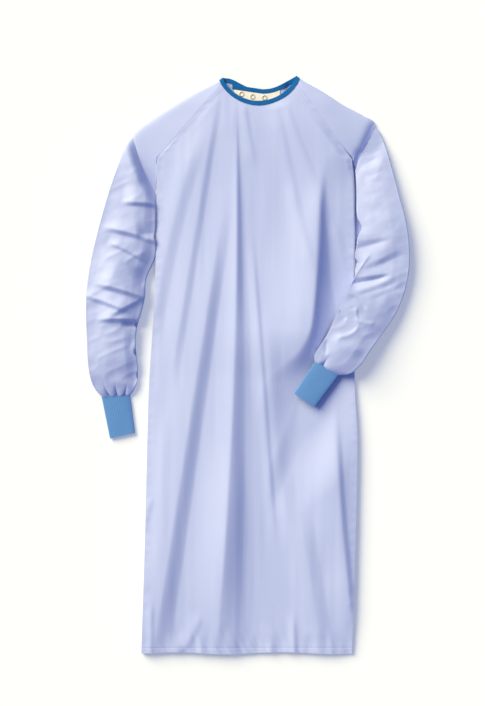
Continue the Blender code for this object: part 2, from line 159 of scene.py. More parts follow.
# %% Sizes of the gown
front_low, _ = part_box("front_panel")
WALL = 1.2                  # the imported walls; the cloth drawn here is thinner and lies inside them
GAP = 0.3
CLOTH = 0.6
HPS_Y = 635.0               # high points of the shoulders
HPS_TILT = 0.024            # the neck lies slightly turned
NECK_X = 10.0
NECK_HALF = 80.4
NECK_DROP = 53.0
NECK_EASE = 0.23            # radians of the front neckline that belong to each sleeve
BACK_NECK_X = 17.0
BACK_NECK_HALF = 80.0
BACK_NECK_DROP = 26.5
BACK_RAGLAN_IN = 11.0       # the back raglan seams start this far inside the shoulder points
CORNER_SLOPE = 0.15         # the left panel's neck edge climbs to its free corner
ARMPIT_Y = 455.0
HEM_Y = round(front_low.y / MM + 2.0)
HEM_WAVE = 2.0
WAVE_LENGTH = 38.0
LOWER_EDGE_X = 56.0         # free edge of the right back panel, under the other one
UPPER_EDGE_X = -50.0        # free edge of the left back panel
OVERLAP_STEP = (60.0, 76.0)     # the left panel climbs onto the right one between these
NECK_STACK = (45.0, 90.0)       # distances from the neck over which the binding's thickness dies out
BINDING_WALL = 1.0
BINDING_WIDTH = 8.5
SEAM_DIP = 2.5              # half-width of the dip where a raglan seam runs down into the armpit
SIGN = {"right": -1, "left": 1}     # the way X runs towards each side

# The side folds of the body, by height on the table.
Side = namedtuple("Side", "y right left")
SIDES = (
    Side(455, -216, 214),
    Side(300, -217, 217),
    Side(145, -221, 217),
    Side(-50, -233, 220),
    Side(-150, -236, 225),
    Side(-400, -242, 221),
    Side(-632, -250, 214),
)

# Height along the front raglan seams, by fraction from the neck to the armpit, and of the cloth beside
# them. The left seam dips into its armpit; the right one runs on nearly level into the sleeve.
Seam = namedtuple("Seam", "amount left right beside")
SEAM_HEIGHTS = (
    Seam(0.0, 9.5, 9.5, 9.5),
    Seam(0.1, 13.5, 13.5, 13.5),
    Seam(0.3, 17.0, 17.0, 17.0),
    Seam(0.6, 17.5, 17.5, 17.5),
    Seam(0.76, 16.5, 16.5, 16.5),
    Seam(0.88, 14.0, 15.0, 15.0),
    Seam(0.95, 9.0, 13.5, 14.0),
    Seam(1.0, 2.1, 11.0, 13.0),
    Seam(1.1, 2.1, 11.0, 12.0),
)
print(f"the hem lies at y = {HEM_Y:.0f} mm")


# %% Lines of the neck and heights of the layers
def shoulder_y(x):
    return HPS_Y + HPS_TILT * (x - NECK_X)


def front_neck(angle):
    """A point of the front neckline; angle runs from -pi/2 to pi/2 between the shoulder points."""
    x = NECK_X + NECK_HALF * np.sin(angle)
    return x, shoulder_y(x) - NECK_DROP * np.cos(angle) ** 1.4


def back_neck_y(x):
    out = np.clip(np.abs((x - BACK_NECK_X) / BACK_NECK_HALF), 0.0, 1.0)
    return shoulder_y(x) - BACK_NECK_DROP * (1.0 - out ** 2.4) ** 2


def upper_neck_y(x):
    """Neck edge of the left back panel, which runs straight to its free corner."""
    straight = back_neck_y(BACK_NECK_X) + CORNER_SLOPE * (BACK_NECK_X - x)
    return np.where(x < BACK_NECK_X, straight, back_neck_y(x))


def neck_stack(x, y):
    """1 near the back neck edge, where binding lies between the layers, and 0 away from it."""
    return 1.0 - ease(*NECK_STACK, back_neck_y(x) - y)


def under_z(x, y):
    """Mid-surface of what lies on the table."""
    return WALL / 2 + (BINDING_WALL + GAP) * neck_stack(x, y)


def upper_z(x, y):
    """Mid-surface of the left back panel, which climbs over the right one and its binding."""
    climb = WALL + GAP + 2 * (BINDING_WALL + GAP) * neck_stack(x, y)
    return under_z(x, y) + climb * (1.0 - ease(*OVERLAP_STEP, x))


neck_low = front_neck(0.0)
print(f"the front neckline is lowest at ({neck_low[0]:.0f}, {neck_low[1]:.0f}) mm")

# %% [markdown]
# ## Folds and creases
# Cloth this light lies in long soft folds on the body and buckles into short sharp ones in the sleeves.
# A cloth simulation could make such folds, but it would put them somewhere else, so each main one is
# placed one by one. A fold is a ridge (or, with a minus height, a trough) along a bowed line from point 1 to
# point 2. Its soft flank lies on the right of someone who walks from 1 to 2, and its steep flank on their
# left. A crest of 2 rounds it over, and one near 1 gives it a pinched edge. A start below 1 makes it grow
# in height and width from that share of its size at point 1 to all of it at point 2.
# A formula of heights can't make an upright bank, so tuck then draws the cloth sideways against a fold.

# %% The fold function
STRAIGHT_SHARE = 0.6        # share of a taut flank's fall that is at one slope
SMALLEST = 0.02             # share of its size that a fold keeps where it vanishes
TUCK_PULL = 1.12
TUCK_REACH = 9.0
Fold = namedtuple("Fold", "x1 y1 bend x2 y2 height soft steep crest start", defaults=(2.0, 1.0))


def fold_lines(x, y, fold):
    """How far along a fold the points x, y lie (0 to 1), and how far to its left in millimetres."""
    run_x, run_y = fold.x2 - fold.x1, fold.y2 - fold.y1
    length = math.hypot(run_x, run_y)
    from_x, from_y = x - fold.x1, y - fold.y1
    along = (from_x * run_x + from_y * run_y) / length ** 2
    return along, (from_y * run_x - from_x * run_y) / length - 4.0 * fold.bend * along * (1.0 - along)


def tapered(along, tip):
    """1 along a fold, fading to 0 at both ends over a share, tip, of its length."""
    return ease(0.0, tip, along) * ease(0.0, tip, 1.0 - along)


def fold_rise(x, y, folds, tip=0.25, taut=0.0):
    """Summed height of the folds at the points x, y.

    A steep flank of taut cloth (taut = 1) falls straight to a sharp valley; otherwise it rounds out.
    """
    total = np.zeros(np.shape(x))
    for fold in folds:
        along, offset = fold_lines(x, y, fold)
        size = np.maximum(SMALLEST, blend(fold.start, 1.0, np.clip(along, 0.0, 1.0)))
        width = np.where(offset < 0.0, fold.soft, fold.steep) * size
        reach = np.abs(offset / width)
        rounded = np.exp(-reach ** fold.crest)
        straight = 1.0 - blend(ease(0.0, 1.0, reach), np.clip(reach, 0.0, 1.0), STRAIGHT_SHARE)
        flank = np.where(offset < 0.0, rounded, blend(rounded, straight, taut))
        total += fold.height * size * tapered(along, tip) * flank
    return total


def tuck(points, fold, tip=0.2):
    """Draw the cloth on the left of a fold in against it, so that its bank stands upright."""
    along, offset = fold_lines(points[..., 0], points[..., 1], fold)
    shift = -TUCK_PULL * np.maximum(offset, 0.0) * bell(offset, TUCK_REACH) * tapered(along, tip)
    length = math.hypot(fold.x2 - fold.x1, fold.y2 - fold.y1)
    points[..., 0] += shift * -(fold.y2 - fold.y1) / length
    points[..., 1] += shift * (fold.x2 - fold.x1) / length


print(f"a fold keeps {SMALLEST:.0%} of its size where it vanishes")

# %% Folds of the body
BODY_DEPTH = 1.3            # how deep the whole table of folds is drawn
BODY_FOLDS = (
    Fold(-76, 640, 0, -192, -70, 4.0, 44, 18, 2.0, 0.7),        # down the right chest
    Fold(-112, 540, -16, -232, 20, 3.6, 30, 24),                # a softer one outside it
    Fold(-52, 650, 3, -40, 60, 1.6, 30, 14),                    # the long middle fold starts narrow
    Fold(-45, 720, 24, -94, -720, 7.5, 220, 84, 1.6, -0.12),    # and widens all the way to the hem
    Fold(-45, 720, 24, -94, -720, 13.5, 60, 54, 1.3, -0.12),
    Fold(-36, -160, 0, -50, -780, 2.6, 64, 24),
    Fold(-60, 410, 0, -242, -750, 12.0, 115, 38, 1.7, 0.55),    # slanting to the right side of the hem
    Fold(40, 590, 0, 100, 320, 1.2, 20, 12),                    # short ones fanning out below the neck
    Fold(60, 592, -4, 140, 390, 1.2, 20, 12),
    Fold(72, 410, 0, 130, 200, 1.2, 18, 14),
    Fold(-30, 600, 0, -2, 430, 1.2, 16, 10),
    Fold(-20, 640, 0, 240, 430, 6.4, 80, 50, 2.0, 0.15),        # over the left shoulder
    Fold(147, 450, 2, 124, 30, 4.0, 60, 12, 1.8),               # the deep one that runs under the forearm
    Fold(142, 440, 4, 112, -40, 19.0, 140, 80, 1.5, 0.12),      # and its wide dark flank
    Fold(168, 330, 4, 208, 150, 1.8, 14, 14),                   # a ray beside it
    Fold(-10, 320, 0, 46, -420, 2.0, 13, 8),                    # long low ridges of the skirt
    Fold(24, 140, -6, 86, -430, 2.2, 18, 26),
    Fold(142, 30, 0, 150, -480, 3.7, 46, 48),                   # below the hand
    Fold(166, 130, -10, 224, -660, 4.5, 34, 12, 1.8),           # the sharp one down the left side
    Fold(158, 90, -10, 224, -640, 3.4, 84, 54, 1.6),            # and the broad one that carries it
    Fold(88, -270, 0, 164, -720, 4.0, 38, 28),
    Fold(-196, -80, 0, -214, -480, 1.2, 14, 18),                # short ones at the right side
    Fold(-226, -280, 0, -248, -372, 1.2, 12, 9, 1.8),
    Fold(-228, -500, 0, -230, -700, 1.4, 10, 8, 1.8),
    Fold(84, -530, 0, 88, -720, 1.6, 10, 10, 1.7),              # and at the hem
    Fold(-118, -540, 6, -172, -640, 1.6, 16, 12, 1.8),
)
print(len(BODY_FOLDS), "folds placed on the body")

# %% [markdown]
# ## Sheets from grids
# Each cloth piece is one grid of points, rows down the grain and columns across it, with a UV map in
# metres of flat cloth so that weave and stripes follow the grain. Solidify then gives the grid the
# thickness of the cloth. The grid could be modelled by pushing vertices about, but a formula keeps the
# pieces meeting at their seams.

# %% Grids to cloth
WELD = 0.02


def add_object(name, data):
    """A new object in the scene, at the origin."""
    thing = bpy.data.objects.new(name, data)
    bpy.context.scene.collection.objects.link(thing)
    return thing


def pick(piece):
    bpy.ops.object.select_all(action="DESELECT")
    piece.select_set(True)
    bpy.context.view_layer.objects.active = piece


def grain_uv(grid):
    """Place of each grid point on the flat cloth, in millimetres."""
    steps = np.linalg.norm(np.diff(grid, axis=1), axis=2)
    across = np.concatenate([np.zeros((len(grid), 1)), np.cumsum(steps, axis=1)], axis=1)
    across -= across[:, -1:] / 2
    down = distances(grid[:, grid.shape[1] // 4])
    return np.stack([across, np.broadcast_to(-down[:, None], across.shape)], axis=-1)


def grid_object(name, grid):
    """A quad mesh over the grid, given in millimetres, with its grain as UV map."""
    rows, columns = grid.shape[:2]
    index = np.arange(rows * columns).reshape(rows, columns)
    corners = [index[:-1, :-1], index[1:, :-1], index[1:, 1:], index[:-1, 1:]]
    quads = np.stack(corners, axis=-1).reshape(-1, 4)
    mesh = bpy.data.meshes.new(name)
    mesh.from_pydata((grid.reshape(-1, 3) * MM).tolist(), [], quads.tolist())
    layer = mesh.uv_layers.new(name="grain")
    layer.data.foreach_set("uv", (grain_uv(grid).reshape(-1, 2)[quads.ravel()] * MM).ravel())
    return add_object(name, mesh)


def close_tube(piece):
    """Join the borders of a sheet that meet along the underarm or the side of a cuff."""
    pick(piece)
    bpy.ops.object.mode_set(mode="EDIT")
    bpy.ops.mesh.select_all(action="SELECT")
    bpy.ops.mesh.remove_doubles(threshold=WELD * MM)
    bpy.ops.object.mode_set(mode="OBJECT")


def thicken(piece, thickness):
    """Give a sheet its thickness, half on each side, and smooth it."""
    pick(piece)
    wall = piece.modifiers.new("cloth", "SOLIDIFY")
    wall.thickness = thickness * MM
    wall.offset = 0.0
    bpy.ops.object.modifier_apply(modifier="cloth")
    bpy.ops.object.shade_smooth_by_angle(angle=math.radians(60))


def wear(piece, node, material):
    """Hang a finished piece on the frame in place of its solid."""
    piece.data.materials.clear()
    piece.data.materials.append(material)
    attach(piece, "root")
    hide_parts(node)


def make_sheet(name, node, points, material, thickness=CLOTH, tube=False):
    """A finished piece of cloth from its grid of points."""
    piece = grid_object(name, points)
    if tube:
        close_tube(piece)
    thicken(piece, thickness)
    wear(piece, node, material)
    print(f"{name}: {len(piece.data.polygons)} faces")


# %% [markdown]
# ## Finishes
# The gown is a polyester taffeta: smooth filament yarn in a tight plain weave, which gives the eye a pale
# lilac blue with a soft, slightly silky sheen. The cuffs are matte rib knit, the binding a dyed bias strip,
# the inner tape cream cotton twill, and the snaps nickel-plated brass. One function turns sRGB hex to
# linear, and one adds a node with its settings and links.

# %% Helpers for finishes
BAND = 2.0 * math.pi / 20.0     # a Wave texture of scale 1 repeats after this many metres


def from_hex(code):
    """An sRGB hex colour as linear RGBA."""
    parts = [int(code[place:place + 2], 16) / 255.0 for place in (0, 2, 4)]
    linear = [part / 12.92 if part <= 0.04045 else ((part + 0.055) / 1.055) ** 2.4 for part in parts]
    return (*linear, 1.0)


def add_node(tree, kind, links=None, values=None, **settings):
    """A node with its settings, its inputs' values and the sockets that feed it."""
    node = tree.nodes.new(kind)
    for key, value in settings.items():
        setattr(node, key, value)
    for key, value in (values or {}).items():
        node.inputs[key].default_value = value
    for key, socket in (links or {}).items():
        tree.links.new(socket, node.inputs[key])
    return node


def new_finish(name, values):
    """A material with a Principled shader, its constants set on the shader's own sockets."""
    finish = bpy.data.materials.new(name)
    finish.use_nodes = True
    shader = finish.node_tree.nodes["Principled BSDF"]
    for key, value in values.items():
        shader.inputs[key].default_value = value
    return finish, finish.node_tree, shader


print(f"a wave of scale 1 is {BAND:.3f} m long")


# %% Polyester taffeta
def taffeta():
    """Plain-woven filament polyester: pale lilac blue, silky along its folds."""
    finish, tree, shader = new_finish("polyester_taffeta", {
        "Roughness": 0.6, "IOR": 1.5, "Specular IOR Level": 0.4,
        "Sheen Weight": 0.2, "Sheen Roughness": 0.4, "Sheen Tint": from_hex("FFFAF2"),
    })
    uv = add_node(tree, "ShaderNodeUVMap", uv_map="grain")
    place = add_node(tree, "ShaderNodeTexCoord")
    # Threads are 0.25 mm apart, too fine to show, so the weave is drawn at 1.3 mm.
    warp, weft = [add_node(tree, "ShaderNodeTexWave", {"Vector": uv.outputs["UV"]}, {"Scale": BAND / 0.0013},
                           bands_direction=direction) for direction in "XY"]
    weave = add_node(tree, "ShaderNodeMath", {0: warp.outputs["Fac"], 1: weft.outputs["Fac"]},
                     operation="MULTIPLY")
    # Every eighteenth warp is a little heavier, which shows as a faint stripe 4.6 mm apart.
    rib = add_node(tree, "ShaderNodeTexWave", {"Vector": uv.outputs["UV"]},
                   {"Scale": BAND / 0.0046, "Distortion": 0.3, "Detail": 1.0}, bands_direction="X")
    cloud = add_node(tree, "ShaderNodeTexNoise", {"Vector": place.outputs["Object"]},
                     {"Scale": 9.0, "Detail": 3.0, "Roughness": 0.5})
    stripe = add_node(tree, "ShaderNodeMix", {"Factor": rib.outputs["Fac"]},
                      {6: from_hex("B0BBE4"), 7: from_hex("B6C0E6")}, data_type="RGBA")
    tone = add_node(tree, "ShaderNodeMix", {"Factor": cloud.outputs["Fac"], 6: stripe.outputs[2]},
                    {7: from_hex("ACB8E4")}, data_type="RGBA")
    bump = add_node(tree, "ShaderNodeBump", {"Height": weave.outputs["Value"]},
                    {"Strength": 0.12, "Distance": 0.0002})
    heavy = add_node(tree, "ShaderNodeBump", {"Height": rib.outputs["Fac"], "Normal": bump.outputs["Normal"]},
                     {"Strength": 0.10, "Distance": 0.0004})
    tree.links.new(tone.outputs[2], shader.inputs["Base Color"])
    tree.links.new(heavy.outputs["Normal"], shader.inputs["Normal"])
    return finish


TAFFETA = taffeta()
print("finish:", TAFFETA.name)


# %% Rib knit, bias binding and twill tape
def lined_cloth(name, surface, dyes, mottle, spacing, relief, turn=0.0, direction="X", wander=0.0):
    """A matte cloth with fine lines of one spacing, in metres, over two mottled dyes."""
    finish, tree, shader = new_finish(name, {"IOR": 1.5, **surface})
    uv = add_node(tree, "ShaderNodeUVMap", uv_map="grain")
    turned = add_node(tree, "ShaderNodeMapping", {"Vector": uv.outputs["UV"]},
                      {"Rotation": (0.0, 0.0, math.radians(turn))})
    lines = add_node(tree, "ShaderNodeTexWave", {"Vector": turned.outputs["Vector"]},
                     {"Scale": BAND / spacing, "Distortion": wander}, bands_direction=direction)
    fade = add_node(tree, "ShaderNodeTexNoise", {"Vector": uv.outputs["UV"]}, mottle)
    dye = add_node(tree, "ShaderNodeMix", {"Factor": fade.outputs["Fac"]},
                   {6: from_hex(dyes[0]), 7: from_hex(dyes[1])}, data_type="RGBA")
    bump = add_node(tree, "ShaderNodeBump", {"Height": lines.outputs["Fac"]}, relief)
    tree.links.new(dye.outputs[2], shader.inputs["Base Color"])
    tree.links.new(bump.outputs["Normal"], shader.inputs["Normal"])
    return finish


# Doubled polyester rib is matte and soft, and a stronger blue. Its stitches are about 1 mm tall and are
# drawn at 1.6 mm, so that they show.
KNIT = lined_cloth(
    "rib_knit", {"Roughness": 0.9, "Specular IOR Level": 0.2, "Sheen Weight": 0.35, "Sheen Roughness": 0.5,
                 "Sheen Tint": from_hex("BBD4F5")},
    dyes=("5080BC", "6391CA"), mottle={"Scale": 900.0, "Detail": 2.0}, spacing=0.0016,
    relief={"Strength": 0.25, "Distance": 0.0004}, direction="Y", wander=1.5)

# A dyed plain-weave strip, cut on the bias: matte deep blue with a diagonal grain. Its threads are 0.3 mm
# apart and are drawn at 1 mm.
BIAS = lined_cloth(
    "bias_binding", {"Roughness": 0.8, "Specular IOR Level": 0.15},
    dyes=("045091", "1466AA"), mottle={"Scale": 60.0, "Detail": 2.0}, spacing=0.001,
    relief={"Strength": 0.2, "Distance": 0.0002}, turn=45)

# Undyed cotton tape is cream and matte, with slanting twill lines 0.7 mm apart, drawn at 1.4 mm.
TWILL = lined_cloth(
    "cotton_twill",
    {"Roughness": 0.9, "Specular IOR Level": 0.2, "Sheen Weight": 0.2, "Sheen Roughness": 0.5},
    dyes=("E4DED3", "F0ECE4"), mottle={"Scale": 160.0, "Detail": 3.0}, spacing=0.0014,
    relief={"Strength": 0.3, "Distance": 0.0003}, turn=63)
print("finishes:", ", ".join(finish.name for finish in (KNIT, BIAS, TWILL)))


# %% Nickel plate
def nickel_plate():
    """Nickel-plated brass, pressed and tumbled: a warm grey with a soft polish."""
    finish, tree, shader = new_finish("nickel_plate", {"Metallic": 1.0})
    place = add_node(tree, "ShaderNodeTexCoord")
    wear_marks = add_node(tree, "ShaderNodeTexNoise", {"Vector": place.outputs["Object"]},
                          {"Scale": 900.0, "Detail": 3.0})
    polish = add_node(tree, "ShaderNodeMapRange", {"Value": wear_marks.outputs["Fac"]},
                      {"To Min": 0.45, "To Max": 0.65})
    tint = add_node(tree, "ShaderNodeMix", {"Factor": wear_marks.outputs["Fac"]},
                    {6: from_hex("D2C7B2"), 7: from_hex("E2D8C6")}, data_type="RGBA")
    tree.links.new(polish.outputs["Result"], shader.inputs["Roughness"])
    tree.links.new(tint.outputs[2], shader.inputs["Base Color"])
    return finish


NICKEL = nickel_plate()
print("finish:", NICKEL.name)

# %% [markdown]
# ## The front
# The front is one panel from neck to hem, cut off at a slant for the raglan sleeves. It lies over the
# wearer's empty hollow: low at the side folds, higher down the middle, with the folds above running over
# it, and held down where the left forearm lies. Its seams pucker a little, because thread draws thin cloth
# together, and its hem is turned twice and stitched.

# %% Sizes of the front
FRONT_COLUMNS = 156
RAGLAN_ROWS = 58
SKIRT_ROWS = 200
HEM_ROWS = 22               # finer rows, from this share of the way down
HEM_FROM = 0.982
FINE_EDGE = (0.0, 0.0012, 0.0036, 0.0075)   # shares of the width with finer columns at each side
SIDE_EDGE = 2.1             # height of the side edges
SIDE_ROUND = 1.6            # the cloth turns down over this width at its edges
SIDE_SWELL = 170.0          # and climbs gently over this one
SIDE_SHARE = 0.8            # share of its height that it has by the end of the turn
SIDE_BULGE = 1.5            # the turned cloth stands out over its own edge
YOKE_ROUND = 90.0
YOKE_FADE = 26.0            # the folds die out over this width beside a raglan seam
SIDE_FADE = 1.7             # and run nearly to the side folds
FOLD_TAUT = 0.7
STREAKS = (Wave(0.3, 24.0, 300.0, 3), Wave(0.2, 11.0, 120.0, 4))
SEAM_PUCKER = Wave(0.5, 30.0, 9.0, 5)
SEAM_GROOVE = 0.5
GROOVE_WIDTH = 1.6
HEM_TURN = 12.0             # depth of the turned hem
HEM_GROOVE = 0.3
HEM_PUCKERS = (Wave(1.5, 17.0, 60.0, 11), Wave(0.9, 41.0, 90.0, 12))
HEM_SLANTS = Wave(0.9, 9.0, 26.0, 13)
HEM_FADE = (10.0, 75.0)     # the puckers die out between these heights

# Height of the front above the table, down its middle.
Crown = namedtuple("Crown", "y height")
CROWNS = (
    Crown(640, 16.0),
    Crown(580, 17.0),
    Crown(520, 20.0),
    Crown(420, 20.5),
    Crown(200, 19.5),
    Crown(-150, 17.0),
    Crown(-450, 14.0),
    Crown(-640, 10.0),
)
print("the front's grid has", FRONT_COLUMNS, "columns")

# %% Where the left forearm lies on the front
FOREARM_AXIS = ((214.0, 150.0), (120.0, -70.0))     # from the elbow to the end of the cuff
PRESSED_Z = 8.0             # the front lies this high below it
OUTSIDE = (45.0, 150.0)     # near and far on its outer side
AXIS_TURN = 25.0            # half the width over which the inner side becomes the outer one
HAND_REACH = 0.52           # the cloth climbs back more slowly beyond the hand
CLIMB = (0.45, 0.9)         # how rounded the climb is, at the elbow and at the hand
ELBOW_FADE = (-190.0, 20.0)

# How far from that line the front is held down in full (near), and from where it isn't at all (far), on
# the inner side, by distance along it.
Press = namedtuple("Press", "along near far")
FOREARM_PRESS = (
    Press(-190, 150, 160),
    Press(-110, 106, 122),
    Press(-16, 56, 90),
    Press(40, 22, 73),
    Press(100, 8, 58),
    Press(157, 8, 62),
    Press(200, 12, 84),
    Press(239, 12, 104),
)


def forearm_press(x, y):
    """1 where the left forearm and cuff lie on the front and hold it down, 0 well away from them."""
    start, end = np.array(FOREARM_AXIS)
    run = end - start
    length = math.hypot(*run)
    along = ((x - start[0]) * run[0] + (y - start[1]) * run[1]) / length
    aside = ((y - start[1]) * run[0] - (x - start[0]) * run[1]) / length
    outside = ease(-AXIS_TURN, AXIS_TURN, aside)
    near, far = [blend(read(FOREARM_PRESS, column, along), beyond, outside)
                 for column, beyond in zip(("near", "far"), OUTSIDE)]
    past_hand = HAND_REACH * np.maximum(along - length, 0.0)
    drop = (np.hypot(aside, past_hand) - near) / (far - near)
    rounded = blend(*CLIMB, ease(130.0, 220.0, along))
    return (1.0 - blend(np.clip(drop, 0.0, 1.0), ease(0.0, 1.0, drop), rounded)) * ease(*ELBOW_FADE, along)


print(f"the forearm holds the front down to {PRESSED_Z:.0f} mm")


# %% Front panel
def panel_downs():
    """Row places of a body panel: -1 at the neck, 0 at the armpits, 1 at the hem."""
    raglan = np.linspace(-1.0, 0.0, RAGLAN_ROWS, endpoint=False)
    skirt = np.linspace(0.0, HEM_FROM, SKIRT_ROWS, endpoint=False)
    return np.concatenate([raglan, skirt, np.linspace(HEM_FROM, 1.0, HEM_ROWS + 1)])[:, None]


def panel_y(down):
    """How far down the table the rows of a body panel lie, below the armpits."""
    return blend(ARMPIT_Y, HEM_Y, np.clip(down, 0.0, 1.0))


def hem_wave(x, down):
    return HEM_WAVE * np.sin(x / WAVE_LENGTH) * np.clip(down, 0.0, 1.0) ** 8


def hem_detail(x, y):
    """The stitched turn of the hem: a groove at the stitching and uneven puckers above and below it."""
    up = y - HEM_Y
    puckers = ripple(x, up, *HEM_PUCKERS) + ripple(x + 0.5 * up, up, HEM_SLANTS)
    return puckers * (1.0 - ease(*HEM_FADE, up)) - HEM_GROOVE * bell(up - HEM_TURN, 2.0)


def front_outline(across, down):
    """Where the front lies on the table, and how far inside its nearer side edge each point is."""
    amount = np.clip(down + 1.0, 0.0, 1.0)
    y = panel_y(down) + 0.0 * across
    x = blend(read(SIDES, "right", y), read(SIDES, "left", y), across)
    neck_x, neck_y = front_neck((2.0 * across - 1.0) * (math.pi / 2 - NECK_EASE))
    x = blend(neck_x, x, amount)
    y = blend(neck_y, y, amount) + hem_wave(x, down)
    return x, y, np.minimum(across, 1.0 - across) * np.ptp(x, axis=1)[:, None]


def front_form(across, down, y, inside):
    """Height of the front without its folds: the yoke between the raglan seams, and the skirt below it."""
    amount = np.clip(down + 1.0, 0.0, 1.0)
    crown = read(CROWNS, "height", y)
    beside = read(SEAM_HEIGHTS, "beside", amount)
    right_seam, left_seam = (read(SEAM_HEIGHTS, side, amount) for side in ("right", "left"))
    seam = np.where(across < 0.5, right_seam, left_seam)
    yoke = np.sin(math.pi / 2 * np.minimum(1.0, inside / YOKE_ROUND))
    shoulder = blend(beside, crown, yoke) - (beside - seam) * bell(inside, SEAM_DIP)
    swell = np.sin(math.pi / 2 * np.minimum(1.0, inside / SIDE_SWELL))
    side = blend(swell, quarter_round(inside, SIDE_ROUND), SIDE_SHARE)
    skirt = np.maximum(blend(SIDE_EDGE, crown, side), blend(seam, SIDE_EDGE, ease(0.0, 0.06, down)))
    return blend(shoulder, skirt, ease(-0.6, 0.0, down))


def front_points():
    even = np.linspace(FINE_EDGE[-1], 1.0 - FINE_EDGE[-1], FRONT_COLUMNS - 5)
    across = np.concatenate([FINE_EDGE[:-1], even, 1.0 - np.array(FINE_EDGE[-2::-1])])[None, :]
    down = panel_downs()
    x, y, inside = front_outline(across, down)
    folds = BODY_DEPTH * fold_rise(x, y, BODY_FOLDS, taut=FOLD_TAUT) + ripple(x, y, *STREAKS)
    fade = blend(YOKE_FADE, SIDE_FADE, ease(-0.05, 0.06, down))
    z = front_form(across, down, y, inside) + folds * ease(0.0, fade, inside) * ease(-1.0, -0.8, down)
    z = blend(z, np.minimum(z, PRESSED_Z), forearm_press(x, y))
    z = z + ripple(inside, y, SEAM_PUCKER) * bell(inside - 5.0, 9.0) + hem_detail(x, y)
    z = z - SEAM_GROOVE * bell(inside, GROOVE_WIDTH) * (across > 0.5)
    bulge = SIDE_BULGE * bell(inside - 1.7, 1.5) * ease(-0.02, 0.03, down)
    x = x + bulge * np.where(across < 0.5, -1.0, 1.0)
    return np.stack([x, y, z], axis=-1)


front = front_points()
make_sheet("front", "front_panel", front, TAFFETA)

# %% [markdown]
# ## The back
# The back opens down its middle, and the two panels overlap: the left one lies inside, on top of the
# right one. They rest flat on the table, apart from long shallow waves where the cloth has not settled.

# %% Back panels
BACK_COLUMNS = 84
BACK_WAVE = Wave(1.3, 45.0, 260.0, 21)
BACK_FADE = 30.0            # the waves die out over this width at the edges


def back_points(side, edge_x, neck_y, height):
    """A back panel from its side seam to its free edge at edge_x."""
    shoulder_x = NECK_X + SIGN[side] * (NECK_HALF - BACK_RAGLAN_IN)
    across = np.linspace(0.0, 1.0, BACK_COLUMNS + 1)[None, :]
    down = panel_downs()
    amount = np.clip(down + 1.0, 0.0, 1.0)
    y_below = panel_y(down) + 0.0 * across
    outer_x = blend(shoulder_x, read(SIDES, side, y_below), amount)
    x = blend(outer_x, edge_x, across)
    y = blend(neck_y(blend(shoulder_x, edge_x, across)), y_below, amount) + hem_wave(x, down)
    inside = np.minimum(across, 1.0 - across) * np.abs(edge_x - outer_x)
    away = ease(0.0, BACK_FADE, inside) * ease(-0.85, -0.4, down)
    waves = (BACK_WAVE.height + ripple(x, y, BACK_WAVE)) * away
    return np.stack([x, y, height(x, y) + waves], axis=-1)


right_back = back_points("right", LOWER_EDGE_X, back_neck_y, under_z)
left_back = back_points("left", UPPER_EDGE_X, upper_neck_y, upper_z)
make_sheet("back_right", "back_panel_right", right_back, TAFFETA)
make_sheet("back_left", "back_panel_left", left_back, TAFFETA)

# %% [markdown]
# ## The sleeves
# A raglan sleeve is one piece of cloth: it starts as a strip between the two raglan seams at the neck,
# widens over the shoulder, and below the armpit becomes a tube, gathered at its end into the cuff. The
# right sleeve hangs beside the body, and the left forearm is laid over the front. Each is built from rings:
# from the front inner edge over the top to the outer fold, and back underneath. Air is caught in it, so
# it buckles into short folds with sharp crests, more than the body does. The place of a ring is 0 at the
# neck, 1 at the armpit, and grows by 1 with each length of the raglan seam below it.

# %% Plan of the sleeves
RAGLAN_LENGTH = 240.0

# The shoulder fold of each sleeve, by fraction of the raglan seam, with the loft of the cloth there.
Shoulder = namedtuple("Shoulder", "amount right_x right_y left_x left_y loft")
SHOULDERS = (
    Shoulder(0.0, -71, 634, 91, 638, 0.0),
    Shoulder(0.09, -83, 626, 103, 630, 0.2),
    Shoulder(0.25, -130, 603, 143, 608, 0.6),
    Shoulder(0.5, -181, 574, 193, 576, 1.2),
    Shoulder(0.75, -233, 540, 236, 553, 2.0),
    Shoulder(1.0, -264, 514, 268, 531, 7.0),
)

# A sleeve below the armpit: its inner and outer fold on the table, the loft of the cloth between them,
# and how far the section is lifted at each of the two.
Tube = namedtuple("Tube", "inner_x inner_y outer_x outer_y loft lift_in lift_out", defaults=(0, 0))
RIGHT_TUBE = (
    Tube(-219, 430, -284, 484, 26),
    Tube(-220, 388, -303, 436, 34),
    Tube(-220, 340, -321, 384, 38),
    Tube(-220, 288, -338, 326, 38),
    Tube(-221, 240, -353, 270, 38),
    Tube(-241, 192, -363, 222, 37),
    Tube(-244, 150, -371, 165, 36),
    Tube(-255, 105, -372, 112, 36),
    Tube(-264, 65, -370, 60, 35),
    Tube(-261, 15, -368, 12, 34),
    Tube(-259, -26, -363, -24, 28),
    Tube(-267, -50, -353, -50, 18),
    Tube(-276, -63, -338, -67, 6),
)
LEFT_TUBE = (
    Tube(218, 426, 288, 484, 17),
    Tube(220, 388, 301, 440, 24),
    Tube(220, 340, 318, 376, 31),
    Tube(221, 290, 335, 306, 39),
    Tube(221, 243, 341, 236, 39),
    Tube(221, 203, 336, 188, 36, 3, 0),
    Tube(209, 170, 324, 145, 34, 16, 0),
    Tube(194, 142, 306, 108, 34, 17, 2),
    Tube(178, 107, 280, 70, 33, 17, 6),
    Tube(160, 70, 254, 35, 32, 17, 13),
    Tube(143, 43, 231, 2, 28, 17, 16),
    Tube(133, 24, 208, -17, 18, 17, 17),
    Tube(134, 10, 184, -20, 6, 17, 17),
)

